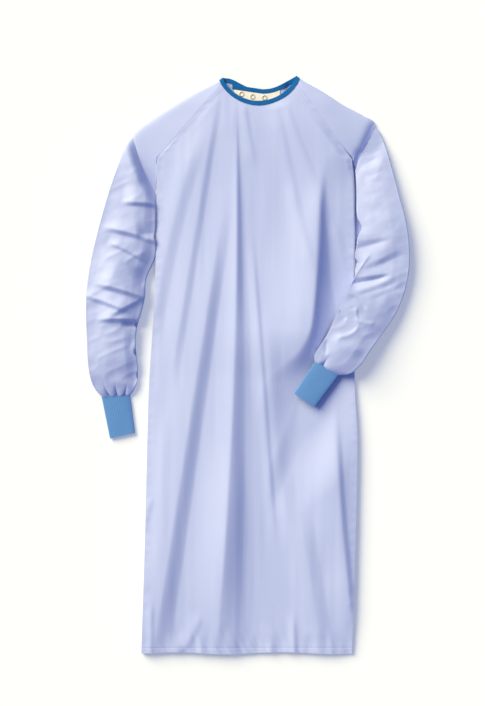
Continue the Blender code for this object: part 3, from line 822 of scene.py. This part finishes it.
# Where the inner edge of a sleeve curls away from the body: height on the table, depth and half-width.
Notch = namedtuple("Notch", "y depth half")
RIGHT_NOTCHES = (Notch(284, 3, 9), Notch(92, 9, 7), Notch(30, 6, 9), Notch(-20, 5, 8))
LEFT_NOTCHES = (Notch(305, 13, 15), Notch(227, 9, 8), Notch(196, 3, 8))
print(len(RIGHT_TUBE), "and", len(LEFT_TUBE), "sections below the armpits")

# %% Creases of the right sleeve
RIGHT_CREASES = (
    Fold(-272, 522, -10, -200, 350, -4.0, 12, 1.8, 1.5),    # valley from the shoulder to the armpit
    Fold(-250, 462, -3, -214, 380, 1.8, 7, 4, 1.4),         # a low ridge beside it
    Fold(-260, 420, 0, -190, 346, -3.0, 22, 12, 1.5),       # hollow at the armpit
    Fold(-176, 344, -6, -296, 358, 7.0, 42, 9, 1.05),       # pinch above the elbow
    Fold(-190, 296, 0, -262, 287, -6.5, 20, 14, 1.4),       # pocket beside the body
    Fold(-180, 258, -6, -344, 307, 7.5, 35, 10, 1.05),      # long fold across the elbow
    Fold(-232, 224, -4, -326, 273, 5.0, 29, 8, 1.05),
    Fold(-286, 256, 0, -324, 166, 5.5, 42, 54, 1.8),        # wide facet that looks away from the light
    Fold(-186, 238, 0, -256, 174, -9.0, 28, 12, 1.4),       # pocket where the sleeve leaves the body
    Fold(-216, 138, -6, -360, 182, 8.0, 29, 10, 1.05),      # the two arms of a V
    Fold(-266, 116, -3, -392, 160, 6.5, 32, 9, 1.05),
    Fold(-228, 162, 0, -326, 106, 4.5, 24, 10, 1.1),
    Fold(-222, 92, -7, -352, 101, 8.0, 35, 9, 1.05),        # arc of the forearm, with a pocket below
    Fold(-230, 90, 0, -296, 92, -7.0, 10, 9, 1.4),
    Fold(-276, 90, 0, -286, -10, 1.4, 54, 26, 1.9),         # broad swells down to the cuff
    Fold(-262, 70, 0, -282, 30, -2.0, 16, 10, 1.5),
    Fold(-238, 24, 0, -272, -50, -6.0, 26, 12, 1.5),
    Fold(-322, 80, 2, -338, -50, 1.4, 48, 24, 1.9),
)
print(len(RIGHT_CREASES), "creases on the right sleeve")

# %% Creases of the left sleeve
LEFT_CREASES = (
    Fold(274, 556, 2, 222, 436, -17.0, 12, 1.8, 1.6),
    Fold(272, 552, 2, 222, 440, -3.0, 13, 46, 1.6),           # slot from the shoulder to the armpit
    Fold(234, 482, 3, 206, 400, -9.0, 13, 1.8, 1.5),
    Fold(206, 404, 8, 280, 462, -2.0, 13, 9, 1.4),             # creases that leave it
    Fold(224, 416, -6, 290, 436, -1.7, 22, 14, 1.5),
    Fold(285, 470, 0, 262, 400, 1.2, 14, 16, 1.6),
    Fold(196, 250, 0, 300, 278, -1.9, 7, 5.5, 1.4, 4.0),    # elbow: lens-shaped hollows, one below another
    Fold(256, 250, -2, 208, 176, 2.0, 5, 4, 1.1),
    Fold(228, 207, -2, 334, 249, -5.5, 30, 16, 1.4, 0.5),
    Fold(190, 178, -3, 302, 201, -3.8, 4.6, 4.4, 1.2, 4.0),
    Fold(226, 178, -1, 304, 194, -1.2, 4, 4, 1.2),
    Fold(214, 152, -2, 318, 185, -4.4, 22, 13, 1.4, 0.8),
    Fold(246, 142, 0, 332, 176, -1.8, 18, 10, 1.4),
    Fold(202, 156, 6, 246, 120, -2.0, 7, 4.5, 1.3),           # short creases of the forearm
    Fold(222, 130, -3, 227, 94, 1.8, 8, 5, 1.3),
    Fold(218, 102, -4, 266, 94, 2.0, 8, 7, 1.3),
    Fold(182, 124, 0, 201, 100, -2.2, 7, 5, 1.3),
    Fold(174, 64, -12, 230, 94, 2.2, 9, 7, 1.3),
    Fold(164, 72, 0, 238, 22, 3.0, 26, 15, 1.6),
    Fold(157, 60, 0, 154, 20, -2.0, 6, 6, 1.4),
    Fold(280, 200, 6, 244, 40, 1.6, 48, 34, 2.0),
)
print(len(LEFT_CREASES), "creases on the left sleeve")

# %% [markdown]
# ## How the two sleeves differ
# Both sleeves are worked out by the same functions, each from one set of values, so that a reader can
# compare them. The first creases, tucks of them, are drawn upright. turn gives the widths over which the
# cloth turns down at the inner and the outer fold, from wall_share of its height, and lean the share of
# its height that it loses towards each. The strip over the shoulder drops to its fold with the power drop,
# and by yoke_fall before that. level_to is the place up to which it keeps the height of the raglan seam.
# The right sleeve rises over valley_bank from its shoulder valley, and its seam shows as a groove and a
# narrower dip (dip_end). The left one lies flat in the gap beside the body, over the width of its shelf.
# crumple is the depth of its small creases, and gathers gives the shares of the width where it is drawn in.

# %% Settings of the sleeves
Sleeve = namedtuple("Sleeve", "side tube creases notches tucks turn wall_share lean drop yoke_fall level_to "
                              "valley_bank groove dip_end shelf depth crumple gathers seed")
RIGHT_SLEEVE = Sleeve(
    side="right", tube=RIGHT_TUBE, creases=RIGHT_CREASES, notches=RIGHT_NOTCHES, tucks=1,
    turn=(1.8, 1.5), wall_share=0.82, lean=(0.2, 0.0), drop=12.0, yoke_fall=0.5, level_to=1.45,
    valley_bank=24.0, groove=0.35, dip_end=1.0, shelf=0.0,
    depth=1.3, crumple=1.2, gathers=(0.0, 0.2, 0.46, 0.72, 1.0), seed=31,
)
LEFT_SLEEVE = Sleeve(
    side="left", tube=LEFT_TUBE, creases=LEFT_CREASES, notches=LEFT_NOTCHES, tucks=2,
    turn=(0.5, 2.4), wall_share=0.85, lean=(0.0, 0.17), drop=3.0, yoke_fall=0.0, level_to=1.16,
    valley_bank=0.0, groove=0.0, dip_end=SEAM_DIP, shelf=3.6,
    depth=1.15, crumple=0.4, gathers=(0.0, 0.3, 1.0), seed=41,
)
print("sleeves:", RIGHT_SLEEVE.side, "and", LEFT_SLEEVE.side)

# %% Rings of a sleeve
RING_PLACES = ((0.0, 0.85, 42), (0.85, 1.4, 104))   # from, to and number of rings; the shoulder's are closer
ARM_RINGS = 174
Rings = namedtuple("Rings", "place front_in back_in outer loft lift_in lift_out")


def sleeve_rings(sleeve):
    """Where each ring has its front and back inner edge and its outer fold, from the neck to the cuff."""
    side, tube = sleeve.side, sleeve.tube
    armpit = np.array([read(SIDES, side, ARMPIT_Y), ARMPIT_Y])
    neck = np.array(front_neck(SIGN[side] * (math.pi / 2 - NECK_EASE)))
    back_x = NECK_X + SIGN[side] * (NECK_HALF - BACK_RAGLAN_IN)
    back = np.array([back_x, back_neck_y(back_x)])
    inner = np.array([armpit] + [(row.inner_x, row.inner_y) for row in tube], float)
    fold = [(getattr(row, side + "_x"), getattr(row, side + "_y")) for row in SHOULDERS]
    outer = np.array(fold + [(row.outer_x, row.outer_y) for row in tube], float)
    middle = (inner + outer[len(SHOULDERS) - 1:]) / 2
    at_inner = 1.0 + distances(middle) / RAGLAN_LENGTH
    at_all = np.concatenate([[row.amount for row in SHOULDERS], at_inner[1:]])
    upper = [np.linspace(start, end, count, endpoint=False) for start, end, count in RING_PLACES]
    place = np.concatenate([*upper, np.linspace(RING_PLACES[-1][1], at_inner[-1], ARM_RINGS + 1)])[:, None]

    def line(at, points, key):
        return np.stack([smooth_curve(at, points[:, axis], key) for axis in (0, 1)], axis=-1)

    def column(name):
        shoulder = [getattr(row, name, 0.0) for row in SHOULDERS]
        return smooth_curve(at_all, shoulder + [getattr(row, name) for row in tube], place)

    yoke = place[..., None] < 1.0
    amount = np.clip(place, 0.0, 1.0)[..., None]
    arm = line(at_inner, inner, np.maximum(place, 1.0))
    front_in = np.where(yoke, blend(neck, armpit, amount), arm)
    back_in = np.where(yoke, blend(back, armpit, amount), arm)
    outer = line(at_all, outer, place)
    return Rings(place, front_in, back_in, outer, column("loft"), column("lift_in"), column("lift_out"))


right_rings, left_rings = sleeve_rings(RIGHT_SLEEVE), sleeve_rings(LEFT_SLEEVE)
print(len(right_rings.place), "and", len(left_rings.place), "rings")

# %% [markdown]
# ## A sleeve on the table
# Each ring is first laid out flat. The columns are closer at the folds, where the cloth turns sharply.
# Beside the body the left sleeve keeps a flat shelf before it rises, and past the fold the cloth hangs over
# a little, as a full sleeve does. The notches are the small curls where its inner edge leaves the body.

# %% Where a sleeve lies
SLEEVE_OVER = 92            # columns over the top
SLEEVE_UNDER = 30           # and underneath
EDGE_COLUMNS = 0.35         # how much closer the columns are at the folds
NOTCH_EDGE = 0.8            # the cloth of a notch lies flat up to here
OVERHANG = 3.4              # the turned cloth bulges a little over its own fold
HANG_SPAN = (1.4, 9.0)      # where the bulge is full, and where it ends
SHELF_FROM = (1.02, 1.12)
SHELF_TO = (1.9, 2.1)

shares = np.concatenate([np.linspace(0.0, 1.0, SLEEVE_OVER + 1), np.linspace(1.0, 0.0, SLEEVE_UNDER + 1)[1:]])
on_top = np.arange(len(shares))[None, :] <= SLEEVE_OVER
out = blend(shares, (1.0 - np.cos(math.pi * shares)) / 2, EDGE_COLUMNS)[None, :]
swell = 2.0 * np.sqrt(np.maximum(out * (1.0 - out), 0.0))


def sleeve_plan(sleeve, rings):
    """Points of a sleeve on the table, and their distances from where it turns down inside and outside."""
    inner = np.where(on_top[..., None], rings.front_in, rings.back_in)
    flat = blend(inner, rings.outer, out[..., None])
    width = np.linalg.norm(rings.outer - rings.front_in, axis=-1)
    for notch in sleeve.notches:
        pull = SIGN[sleeve.side] * notch.depth * bell(flat[..., 1] - notch.y, notch.half)
        drawn = (1.0 - out) ** 5 * np.clip(out * width / NOTCH_EDGE, 0.0, 1.0)
        flat[..., 0] += np.where(on_top, pull * drawn, 0.0)
    shelf = sleeve.shelf * ease(*SHELF_FROM, rings.place) * (1.0 - ease(*SHELF_TO, rings.place))
    inset = out * width - shelf
    hang = ease(0.0, HANG_SPAN[0], inset) * (1.0 - ease(*HANG_SPAN, inset)) * ease(1.0, 1.1, rings.place)
    flat[..., 0] -= np.where(on_top, SIGN[sleeve.side] * (OVERHANG - 0.7 * shelf) * hang, 0.0)
    return flat, inset, (1.0 - out) * width


print(len(shares), "points around each ring")

# %% [markdown]
# ## The height of a sleeve
# The strip over the shoulder falls from the raglan seam to the fold, and below the armpit it turns into a
# tube: a wall at each fold with a flatter top between. The creases are laid over that, deep only where there
# is air under the cloth, with a small sharp crumple that grows towards the wrist.

# %% Height of a sleeve
FOLD_EDGE = 3.5
TUBULAR = (0.92, 1.2)       # the strip over the shoulder becomes a tube between these places
PLATEAU = 0.84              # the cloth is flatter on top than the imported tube, and so a little lower
LEAN_FROM = (0.78, 0.68)    # a leaning section falls away outside these shares of its width, in and out
FULL_LOFT = 12.0            # creases are at their full depth where the cloth stands this high
CREASE_TIP = 0.28
CREASE_TAUT = 0.65
CRINKLES = (Wave(0.7, 26.0, 20.0, 0), Wave(0.2, 11.0, 9.0, 1))
UNDERSIDE = Wave(1.6, 34.0, 16.0, 2)
CRUMPLE = Wave(1.0, 46.0, 21.0, 3)
WRIST_CRUMPLE = 1.4
WRIST = (1.7, 2.4)


def seam_levels(sleeve, rings):
    """Height of the raglan seam and of the cloth beside it, carried on down the arm."""
    amount = np.clip(rings.place, 0.0, 1.0)
    levels = []
    for column, level_to in ((sleeve.side, 1.08), ("beside", sleeve.level_to)):
        to_inner_fold = WALL / 2 - read(SEAM_HEIGHTS, column, 1.0) + rings.lift_in
        levels.append(read(SEAM_HEIGHTS, column, amount) + to_inner_fold * ease(1.0, level_to, rings.place))
    return levels


def sleeve_loft(sleeve, rings, x, y):
    """How high the caught air holds the cloth: less beside the valley and where the section leans."""
    height = PLATEAU * rings.loft
    if sleeve.valley_bank:
        bank = np.clip(-fold_lines(x, y, sleeve.creases[0])[1] / sleeve.valley_bank, 0.0, 1.0)
        height = height * (1.0 - (1.0 - bank) ** 2.2)
    tubular = ease(*TUBULAR, rings.place)
    for share, start, away in zip(sleeve.lean, LEAN_FROM, (1.0 - out, out)):
        height = height * (1.0 - share * tubular * np.clip((away - start) / (1.0 - start), 0.0, 1.0) ** 1.3)
    return height


def sleeve_creases(sleeve, rings, x, y):
    """Placed creases, soft crinkles, and small sharp ones that deepen towards the wrist."""
    rise = sleeve.depth * fold_rise(x, y, sleeve.creases, tip=CREASE_TIP, taut=CREASE_TAUT)
    crumple = blend(sleeve.crumple, WRIST_CRUMPLE, ease(*WRIST, rings.place))
    sharp = np.abs(ripple(x + 0.5 * y, y - 0.4 * x, CRUMPLE, seed=sleeve.seed))
    return rise + ripple(x, y, *CRINKLES, seed=sleeve.seed) - crumple * sharp


def sleeve_height(sleeve, rings, flat, inset, to_outer):
    """Base on which a sleeve lies, and height of all its points."""
    x, y = flat[..., 0], flat[..., 1]
    base = under_z(x, y) + blend(rings.lift_in, rings.lift_out, out)
    seam, beside = seam_levels(sleeve, rings)
    tubular = ease(*TUBULAR, rings.place)
    drop = np.sqrt(np.clip(1.0 - out ** blend(sleeve.drop, 4.0, tubular), 0.0, 1.0))
    drop = drop * (1.0 - sleeve.yoke_fall * out * (1.0 - tubular))
    tube = blend(sleeve.wall_share, 1.0, np.sin(math.pi * out))
    tube = tube * quarter_round(inset - NOTCH_EDGE, sleeve.turn[0]) * quarter_round(to_outer, sleeve.turn[1])
    section = blend(swell ** 1.5 * ease(0.1, 0.75, out), tube, tubular)
    loft = sleeve_loft(sleeve, rings, x, y)
    fullness = np.minimum(1.0, loft / FULL_LOFT)
    upper = FOLD_EDGE + (beside - base[:, :1] - FOLD_EDGE) * drop + loft * section
    upper = upper + sleeve_creases(sleeve, rings, x, y) * swell ** 0.5 * fullness
    lower = FOLD_EDGE * (1.0 - np.sqrt(np.clip(1.0 - out ** 6, 0.0, 1.0)))
    hidden = (UNDERSIDE.height + ripple(x, y, UNDERSIDE, seed=sleeve.seed)) * swell * fullness
    lower = lower + hidden * ease(1.05, 1.4, rings.place)
    to_seam = np.linalg.norm(flat - rings.front_in, axis=-1)
    dip_width = blend(SEAM_DIP, sleeve.dip_end, ease(0.96, 1.04, rings.place))
    groove = np.where(rings.place < 1.0, -sleeve.groove * bell(to_seam, GROOVE_WIDTH), 0.0)
    upper = np.maximum(upper, 2.0 * swell) + (seam - beside) * bell(to_seam, dip_width) + groove
    return base, base + np.where(on_top, upper, lower)


print(f"creases are at their full depth where the cloth stands {FULL_LOFT:.0f} mm high")

# %% [markdown]
# ## Gathers at the cuffs
# The end of a sleeve is wider than its cuff, so it is drawn in where it is sewn on. Between the places where
# it is pulled tight the cloth puffs up in rounded lobes, which bulge over the seam.

# %% Sleeves, gathered into their cuffs
PUFF_HEIGHT = 4.0           # the lobes between the gathers stand this much higher right at the cuff
PUFF_REACH = 15.0
SWELL_HEIGHT = 0.8          # and this much in a wider reach
SWELL_REACH = 34.0
LOBE_OUT = 7.0              # they bulge over the seam by this, and the gathers are drawn back
LOBE_BACK = 2.0


def gather(points, sleeve, rings, base):
    """Draw the end of a sleeve into its cuff, so that the cloth above bulges over the seam in lobes."""
    to_cuff = (rings.place[-1] - rings.place) * RAGLAN_LENGTH
    turns = smooth_curve(sleeve.gathers, range(len(sleeve.gathers)), out)
    lobe = np.abs(np.sin(math.pi * turns)) ** 0.5
    puff = PUFF_HEIGHT * (lobe - 0.6) * bell(to_cuff, PUFF_REACH)
    puff = (puff + SWELL_HEIGHT * lobe * bell(to_cuff, SWELL_REACH)) * swell ** 0.5
    points[..., 2] += np.where(on_top, puff, 0.2 * np.maximum(puff, 0.0))
    points[..., 2] = np.maximum(points[..., 2], base)
    bulge = (LOBE_OUT * lobe - LOBE_BACK) * bell(to_cuff - 6.0, 8.0) * np.where(on_top, swell ** 0.4, 0.0)
    down_arm = unit(np.gradient((rings.front_in + rings.outer) / 2, axis=0))
    points[..., :2] += down_arm * bulge[..., None]


def sleeve_points(sleeve, rings):
    flat, inset, to_outer = sleeve_plan(sleeve, rings)
    base, z = sleeve_height(sleeve, rings, flat, inset, to_outer)
    points = np.concatenate([flat, z[..., None]], axis=-1)
    for crease in sleeve.creases[:sleeve.tucks]:
        tuck(points, crease)
    gather(points, sleeve, rings, base)
    return points


right_sleeve = sleeve_points(RIGHT_SLEEVE, right_rings)
left_sleeve = sleeve_points(LEFT_SLEEVE, left_rings)
make_sheet("right_sleeve", "sleeve_right", right_sleeve, TAFFETA, tube=True)
make_sheet("left_sleeve", "sleeve_left", left_sleeve, TAFFETA, tube=True)

# %% [markdown]
# ## The cuffs
# Each cuff is a tube of rib knit, doubled over at the hand, that lies flat. The ribs run along the arm. It
# is swept from a rounded flat section whose radius rises and falls with the ribs.

# %% Rib-knit cuffs
CUFF_AROUND = 300
CUFF_ROWS = 64
CUFF_THICK = 8.6
CUFF_CLOTH = 1.2
RIB_COUNT = 50
RIB_HEIGHT = 0.2
CUFF_SWAY = Wave(0.5, 24.0, 30.0, 51)
Cuff = namedtuple("Cuff", "inner_x inner_y outer_x outer_y "
                          "end_inner_x end_inner_y end_outer_x end_outer_y lift")
RIGHT_CUFF = Cuff(-276, -62, -338, -66, -265, -148, -319, -160, 0)
LEFT_CUFF = Cuff(133.5, 11, 183.5, -19, 86, -61, 131, -90, 17)


def cuff_points(cuff, seed):
    turn = np.linspace(0.0, 2.0 * math.pi, CUFF_AROUND + 1)[None, :]
    amount = np.linspace(0.0, 1.0, CUFF_ROWS + 1)[:, None]
    out = (1.0 - np.cos(turn)) / 2
    inner_x, inner_y, outer_x, outer_y = [blend(cuff[axis], cuff[axis + 4], amount) for axis in range(4)]
    x, y = blend(inner_x, outer_x, out), blend(inner_y, outer_y, out)
    upward = np.sign(np.sin(turn) + 1e-9)
    round_end = np.abs(np.sin(turn))
    half = (CUFF_THICK - CUFF_CLOTH) / 2
    relief = RIB_HEIGHT * np.cos(RIB_COUNT * turn) + ripple(x, y, CUFF_SWAY, seed=seed)
    z = cuff.lift + CUFF_THICK / 2 + upward * (half * round_end ** 0.6 + relief * round_end ** 0.3)
    return np.stack([x, y, z], axis=-1)


make_sheet("right_cuff", "cuff_right", cuff_points(RIGHT_CUFF, 0), KNIT, CUFF_CLOTH, tube=True)
make_sheet("left_cuff", "cuff_left", cuff_points(LEFT_CUFF, 1), KNIT, CUFF_CLOTH, tube=True)

# %% [markdown]
# ## The neck binding
# A bias strip is folded over the raw edge of the neck, all the way round from one free corner of the back
# to the other, and stitched through. It is a rounded U section carried along the edge of the five panels.

# %% Neck binding
BINDING_STEP = 2.2


def neck_path():
    """The neck edge through all five pieces, and the way into the cloth at each point."""
    strips = (right_back[:2, ::-1], right_sleeve[:2, ::-1], front[:2], left_sleeve[:2], left_back[:2])
    edge = np.concatenate([strip[0] for strip in strips])
    second = np.concatenate([strip[1] for strip in strips])
    keep = np.concatenate([[True], np.linalg.norm(np.diff(edge, axis=0), axis=1) > 0.05])
    edge, inward = edge[keep], unit(second[keep] - edge[keep])
    along = distances(edge)
    even = np.linspace(0.0, along[-1], int(along[-1] / BINDING_STEP) + 1)
    return point_at(edge, along, even), unit(point_at(inward, along, even))


def u_section():
    """The fold of the binding: depth into the cloth and height off its mid-surface, out and back."""
    middle = WALL / 2 + GAP + BINDING_WALL / 2
    bend = [(-GAP - 0.5 * math.sin(a), middle * math.cos(a)) for a in np.linspace(0.0, math.pi, 9)]
    top = [(depth, middle) for depth in np.linspace(BINDING_WIDTH, 0.5, 7)]
    return top + bend + [(depth, -height) for depth, height in reversed(top)]


path, inward = neck_path()
normal = np.cross(unit(np.gradient(path, axis=0)), inward)
slant = np.linalg.norm(normal, axis=1, keepdims=True)
inward_legs, normal_legs = inward / slant, normal / slant
legs = [path + depth * inward_legs + height * normal_legs for depth, height in u_section()]
binding = np.stack(legs, axis=1)
make_sheet("neck_binding_cloth", "neck_binding", binding, BIAS, BINDING_WALL)
print(f"binding: {distances(path)[-1]:.0f} mm long")

# %% [markdown]
# ## The snap tape
# A short twill tape on the inside of the left back panel carries three open ring snaps.

# %% Tape
TAPE_ENDS = (-46.0, 55.0)
TAPE_HEIGHT = 30.0
TAPE_CLOTH = 0.9
TAPE_WAVE = Wave(0.25, 14.0, 12.0, 61)


def tape_points():
    x = np.linspace(*TAPE_ENDS, 81)[None, :]
    slope = np.gradient(upper_neck_y(x[0]), x[0])[None, :]
    below = (BINDING_WIDTH + 2 * GAP + TAPE_HEIGHT * np.linspace(0.0, 1.0, 25))[:, None]
    y = upper_neck_y(x) - below * np.sqrt(1.0 + slope ** 2)
    x = x + 0.0 * y
    return np.stack([x, y, upper_z(x, y) + WALL + GAP + ripple(x, y, TAPE_WAVE)], axis=-1)


tape = tape_points()
make_sheet("snap_tape_cloth", "snap_tape", tape, TWILL, TAPE_CLOTH)

# %% [markdown]
# ## Ring snaps
# An open ring snap is a pressed brass ring with a rolled rim and a lower inner collar. A torus makes the
# rim and a thinner one the collar, both flattened in edit mode; the other two snaps are copies of it.

# %% Ring snaps
Torus = namedtuple("Torus", "radius thickness segments")    # as shares of the snap's width
RIM = Torus(0.43, 0.07, 16)
COLLAR = Torus(0.33, 0.035, 12)
FLATTENED = 0.62


def ring_place(number):
    """Centre and width of a ring snap in the frame."""
    low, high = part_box(f"snap_ring_{number}")
    return (low + high) / 2, high.x - low.x


def model_ring(centre, width):
    bpy.ops.object.select_all(action="DESELECT")
    for torus in (RIM, COLLAR):
        bpy.ops.mesh.primitive_torus_add(
            location=centre, major_radius=width * torus.radius, minor_radius=width * torus.thickness,
            major_segments=64, minor_segments=torus.segments)
        bpy.ops.object.mode_set(mode="EDIT")
    bpy.ops.mesh.select_all(action="SELECT")
    bpy.ops.transform.resize(value=(1.0, 1.0, FLATTENED))
    bpy.ops.object.mode_set(mode="OBJECT")
    bpy.ops.object.shade_smooth()
    return bpy.context.object


first_centre, ring_width = ring_place(1)
rings = [model_ring(first_centre, ring_width)]
for number in (2, 3):
    ring = add_object(f"ring_snap_{number}", rings[0].data.copy())
    ring.location = ring_place(number)[0]
    rings.append(ring)
for number, ring in enumerate(rings, start=1):
    ring.name = f"ring_snap_{number}"
    pick(ring)
    bpy.ops.object.transform_apply(location=True, rotation=True, scale=True)
    wear(ring, f"snap_ring_{number}", NICKEL)
print(f"three ring snaps, {ring_width / MM:.1f} mm wide")

# %% [markdown]
# ## Stitching
# The raglan seams are topstitched on the body's side, and the hem, the binding and the tape are stitched
# through, all with a lockstitch of about 3 mm. On top it shows as a row of short, plump threads that are
# pulled into the cloth at both ends. One thread is modelled and copied along each line.

# %% One stitch
STITCH = 3.1                # from one stitch to the next
STITCH_SIZE = (2.5, 0.42, 0.34)


def lower_ends(thread, beyond, fall):
    """Move down, in edit mode, what lies past a share of the thread's half length."""
    bpy.ops.object.mode_set(mode="EDIT")
    bpy.ops.mesh.select_mode(type="VERT")
    bpy.ops.mesh.select_all(action="DESELECT")
    bpy.ops.object.mode_set(mode="OBJECT")
    for corner in thread.data.vertices:
        corner.select = abs(corner.co.x) > beyond * STITCH_SIZE[0] * MM / 2
    bpy.ops.object.mode_set(mode="EDIT")
    bpy.ops.transform.translate(value=(0.0, 0.0, -fall * MM))
    bpy.ops.object.mode_set(mode="OBJECT")


def model_stitch():
    """A thread along X, its two ends drawn down."""
    bpy.ops.object.select_all(action="DESELECT")
    bpy.ops.mesh.primitive_uv_sphere_add(segments=8, ring_count=4, radius=MM / 2,
                                         rotation=(0.0, math.pi / 2, 0.0))
    bpy.ops.object.transform_apply(location=False, rotation=True, scale=False)
    bpy.ops.object.mode_set(mode="EDIT")
    bpy.ops.mesh.select_all(action="SELECT")
    bpy.ops.transform.resize(value=STITCH_SIZE)
    bpy.ops.object.mode_set(mode="OBJECT")
    stitch = bpy.context.object
    lower_ends(stitch, beyond=0.6, fall=0.07)
    lower_ends(stitch, beyond=0.9, fall=0.13)
    return stitch


stitch_pattern = model_stitch()
print(f"one stitch has {len(stitch_pattern.data.polygons)} faces")

# %% Rows of stitches
UP = np.array([0.0, 0.0, 1.0])


def spaced(line, step):
    """Points every step millimetres along a line, with the line's direction at each."""
    along = distances(line)
    places = np.arange(step / 2, along[-1], step)
    ahead, behind = (point_at(line, along, places + offset) for offset in (0.5, -0.5))
    return point_at(line, along, places), unit(ahead - behind)


def sew(name, lines, material):
    """Copies of the stitch along each line of points, joined in one piece."""
    corners = np.array([corner.co for corner in stitch_pattern.data.vertices]) / MM
    # A new sphere's faces come in another order each time, so they are sorted.
    faces = sorted(list(face.vertices) for face in stitch_pattern.data.polygons)
    points, quads = [], []
    for line in lines:
        at, forward = spaced(line, STITCH)
        aside = unit(np.cross(UP, forward))
        for place, *axes in zip(at, forward, aside, np.cross(forward, aside)):
            first = len(points) * len(corners)
            points.append(place + corners @ np.stack(axes))
            quads += [[first + index for index in face] for face in faces]
    mesh = bpy.data.meshes.new(name)
    mesh.from_pydata((np.concatenate(points) * MM).tolist(), [], quads)
    thread = add_object(name, mesh)
    pick(thread)
    bpy.ops.object.shade_smooth()
    thread.data.materials.append(material)
    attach(thread, "root")
    print(f"{name}: {len(points)} stitches")


def thread_finish(name, code):
    """Spun polyester sewing thread: matte with a slight lustre."""
    return new_finish(name, {"Base Color": from_hex(code), "Roughness": 0.6, "IOR": 1.5,
                             "Specular IOR Level": 0.3, "Sheen Weight": 0.2})[0]


# %% Seams, binding and tape, stitched
SEAM_STITCH = 6.5           # across the panel from a raglan seam to its topstitching
BINDING_STITCH = 1.6        # from the inner edge of the binding to its stitching
TAPE_STITCH = 0.45          # the thread lies this high on the tape

hem_strips = front[RAGLAN_ROWS:, 2:-2][::-1].swapaxes(0, 1)
body_lines = [np.array([point_at(strip, strip[:, 1], HEM_Y + HEM_TURN) for strip in hem_strips])]
for rows in (front[1:RAGLAN_ROWS - 2], front[1:RAGLAN_ROWS - 2, ::-1]):
    body_lines.append(np.array([point_at(row, np.abs(row[:, 0] - row[0, 0]), SEAM_STITCH) for row in rows]))
sew("cover_stitches", [line + CLOTH / 2 * UP for line in body_lines],
    thread_finish("polyester_thread_lilac", "7384C6"))

outside = (WALL / 2 + GAP + BINDING_WALL) * np.sign(normal_legs[:, 2:]) * normal_legs
sew("binding_stitches", [path + (BINDING_WIDTH - BINDING_STITCH) * inward_legs + outside],
    thread_finish("polyester_thread_blue", "0A4E8C"))

tape_edge = np.concatenate([tape[2, 2:-2], tape[2:-2, -3], tape[-3, -3:1:-1], tape[-3:1:-1, 2]])
sew("tape_stitches", [tape_edge + TAPE_STITCH * UP],
    thread_finish("cotton_thread_cream", "E6DFD0"))
bpy.data.objects.remove(stitch_pattern)

# %% [markdown]
# ## Floor, light and camera
# The gown lies on a plain white floor. A broad soft key light from the head end and the right shoulder's
# side rakes across the folds, and a pale blue sky fills the shadows. The camera looks straight down.

# %% Floor
bpy.ops.object.select_all(action="DESELECT")
bpy.ops.mesh.primitive_plane_add(size=12.0, location=(0.0, 0.0, -0.4 * MM))
floor = bpy.context.object
floor.name = "floor"
floor.data.materials.append(new_finish("white_paper", {
    "Roughness": 0.9, "Base Color": from_hex("CDD2D7"),
    "Emission Color": from_hex("FFFFFF"), "Emission Strength": 0.26,
})[0])
print("floor:", floor.data.materials[0].name)

# %% Light
KEY_HEIGHT = math.radians(33.0)
KEY_FROM = (-0.72, 0.69)
SKY = (0.49, 0.64, 1.2, 1.0)
key_data = bpy.data.lights.new("key", "SUN")
key_data.energy = 5.9
key_data.angle = math.radians(44.0)
key_data.color = (1.0, 0.885, 0.545)
key = add_object("key", key_data)
aim = Vector([part * math.cos(KEY_HEIGHT) for part in KEY_FROM] + [math.sin(KEY_HEIGHT)])
key.rotation_euler = aim.to_track_quat("Z", "Y").to_euler()

world = bpy.data.worlds.new("studio")
bpy.context.scene.world = world
world.use_nodes = True
sky = world.node_tree.nodes["Background"]
sky.inputs["Color"].default_value = SKY
sky.inputs["Strength"].default_value = 0.40
print(f"the key light stands {math.degrees(KEY_HEIGHT):.0f} degrees above the floor")

# %% Camera
VIEW_LENGTH = 1.553         # metres of table down the frame
CAMERA_HEIGHT = 4.5
SENSOR = 36.0
AIMED_AT = (-0.0275, 0.0286, 0.015)
camera_data = bpy.data.cameras.new("camera")
camera_data.sensor_width = SENSOR
camera_data.lens = SENSOR * CAMERA_HEIGHT / VIEW_LENGTH
camera = add_object("camera", camera_data)
camera.location = Vector(AIMED_AT) + Vector((0.0, 0.0, CAMERA_HEIGHT))
bpy.context.scene.camera = camera
bpy.context.scene.view_settings.view_transform = "Standard"
print(f"the camera's lens is {camera_data.lens:.0f} mm")
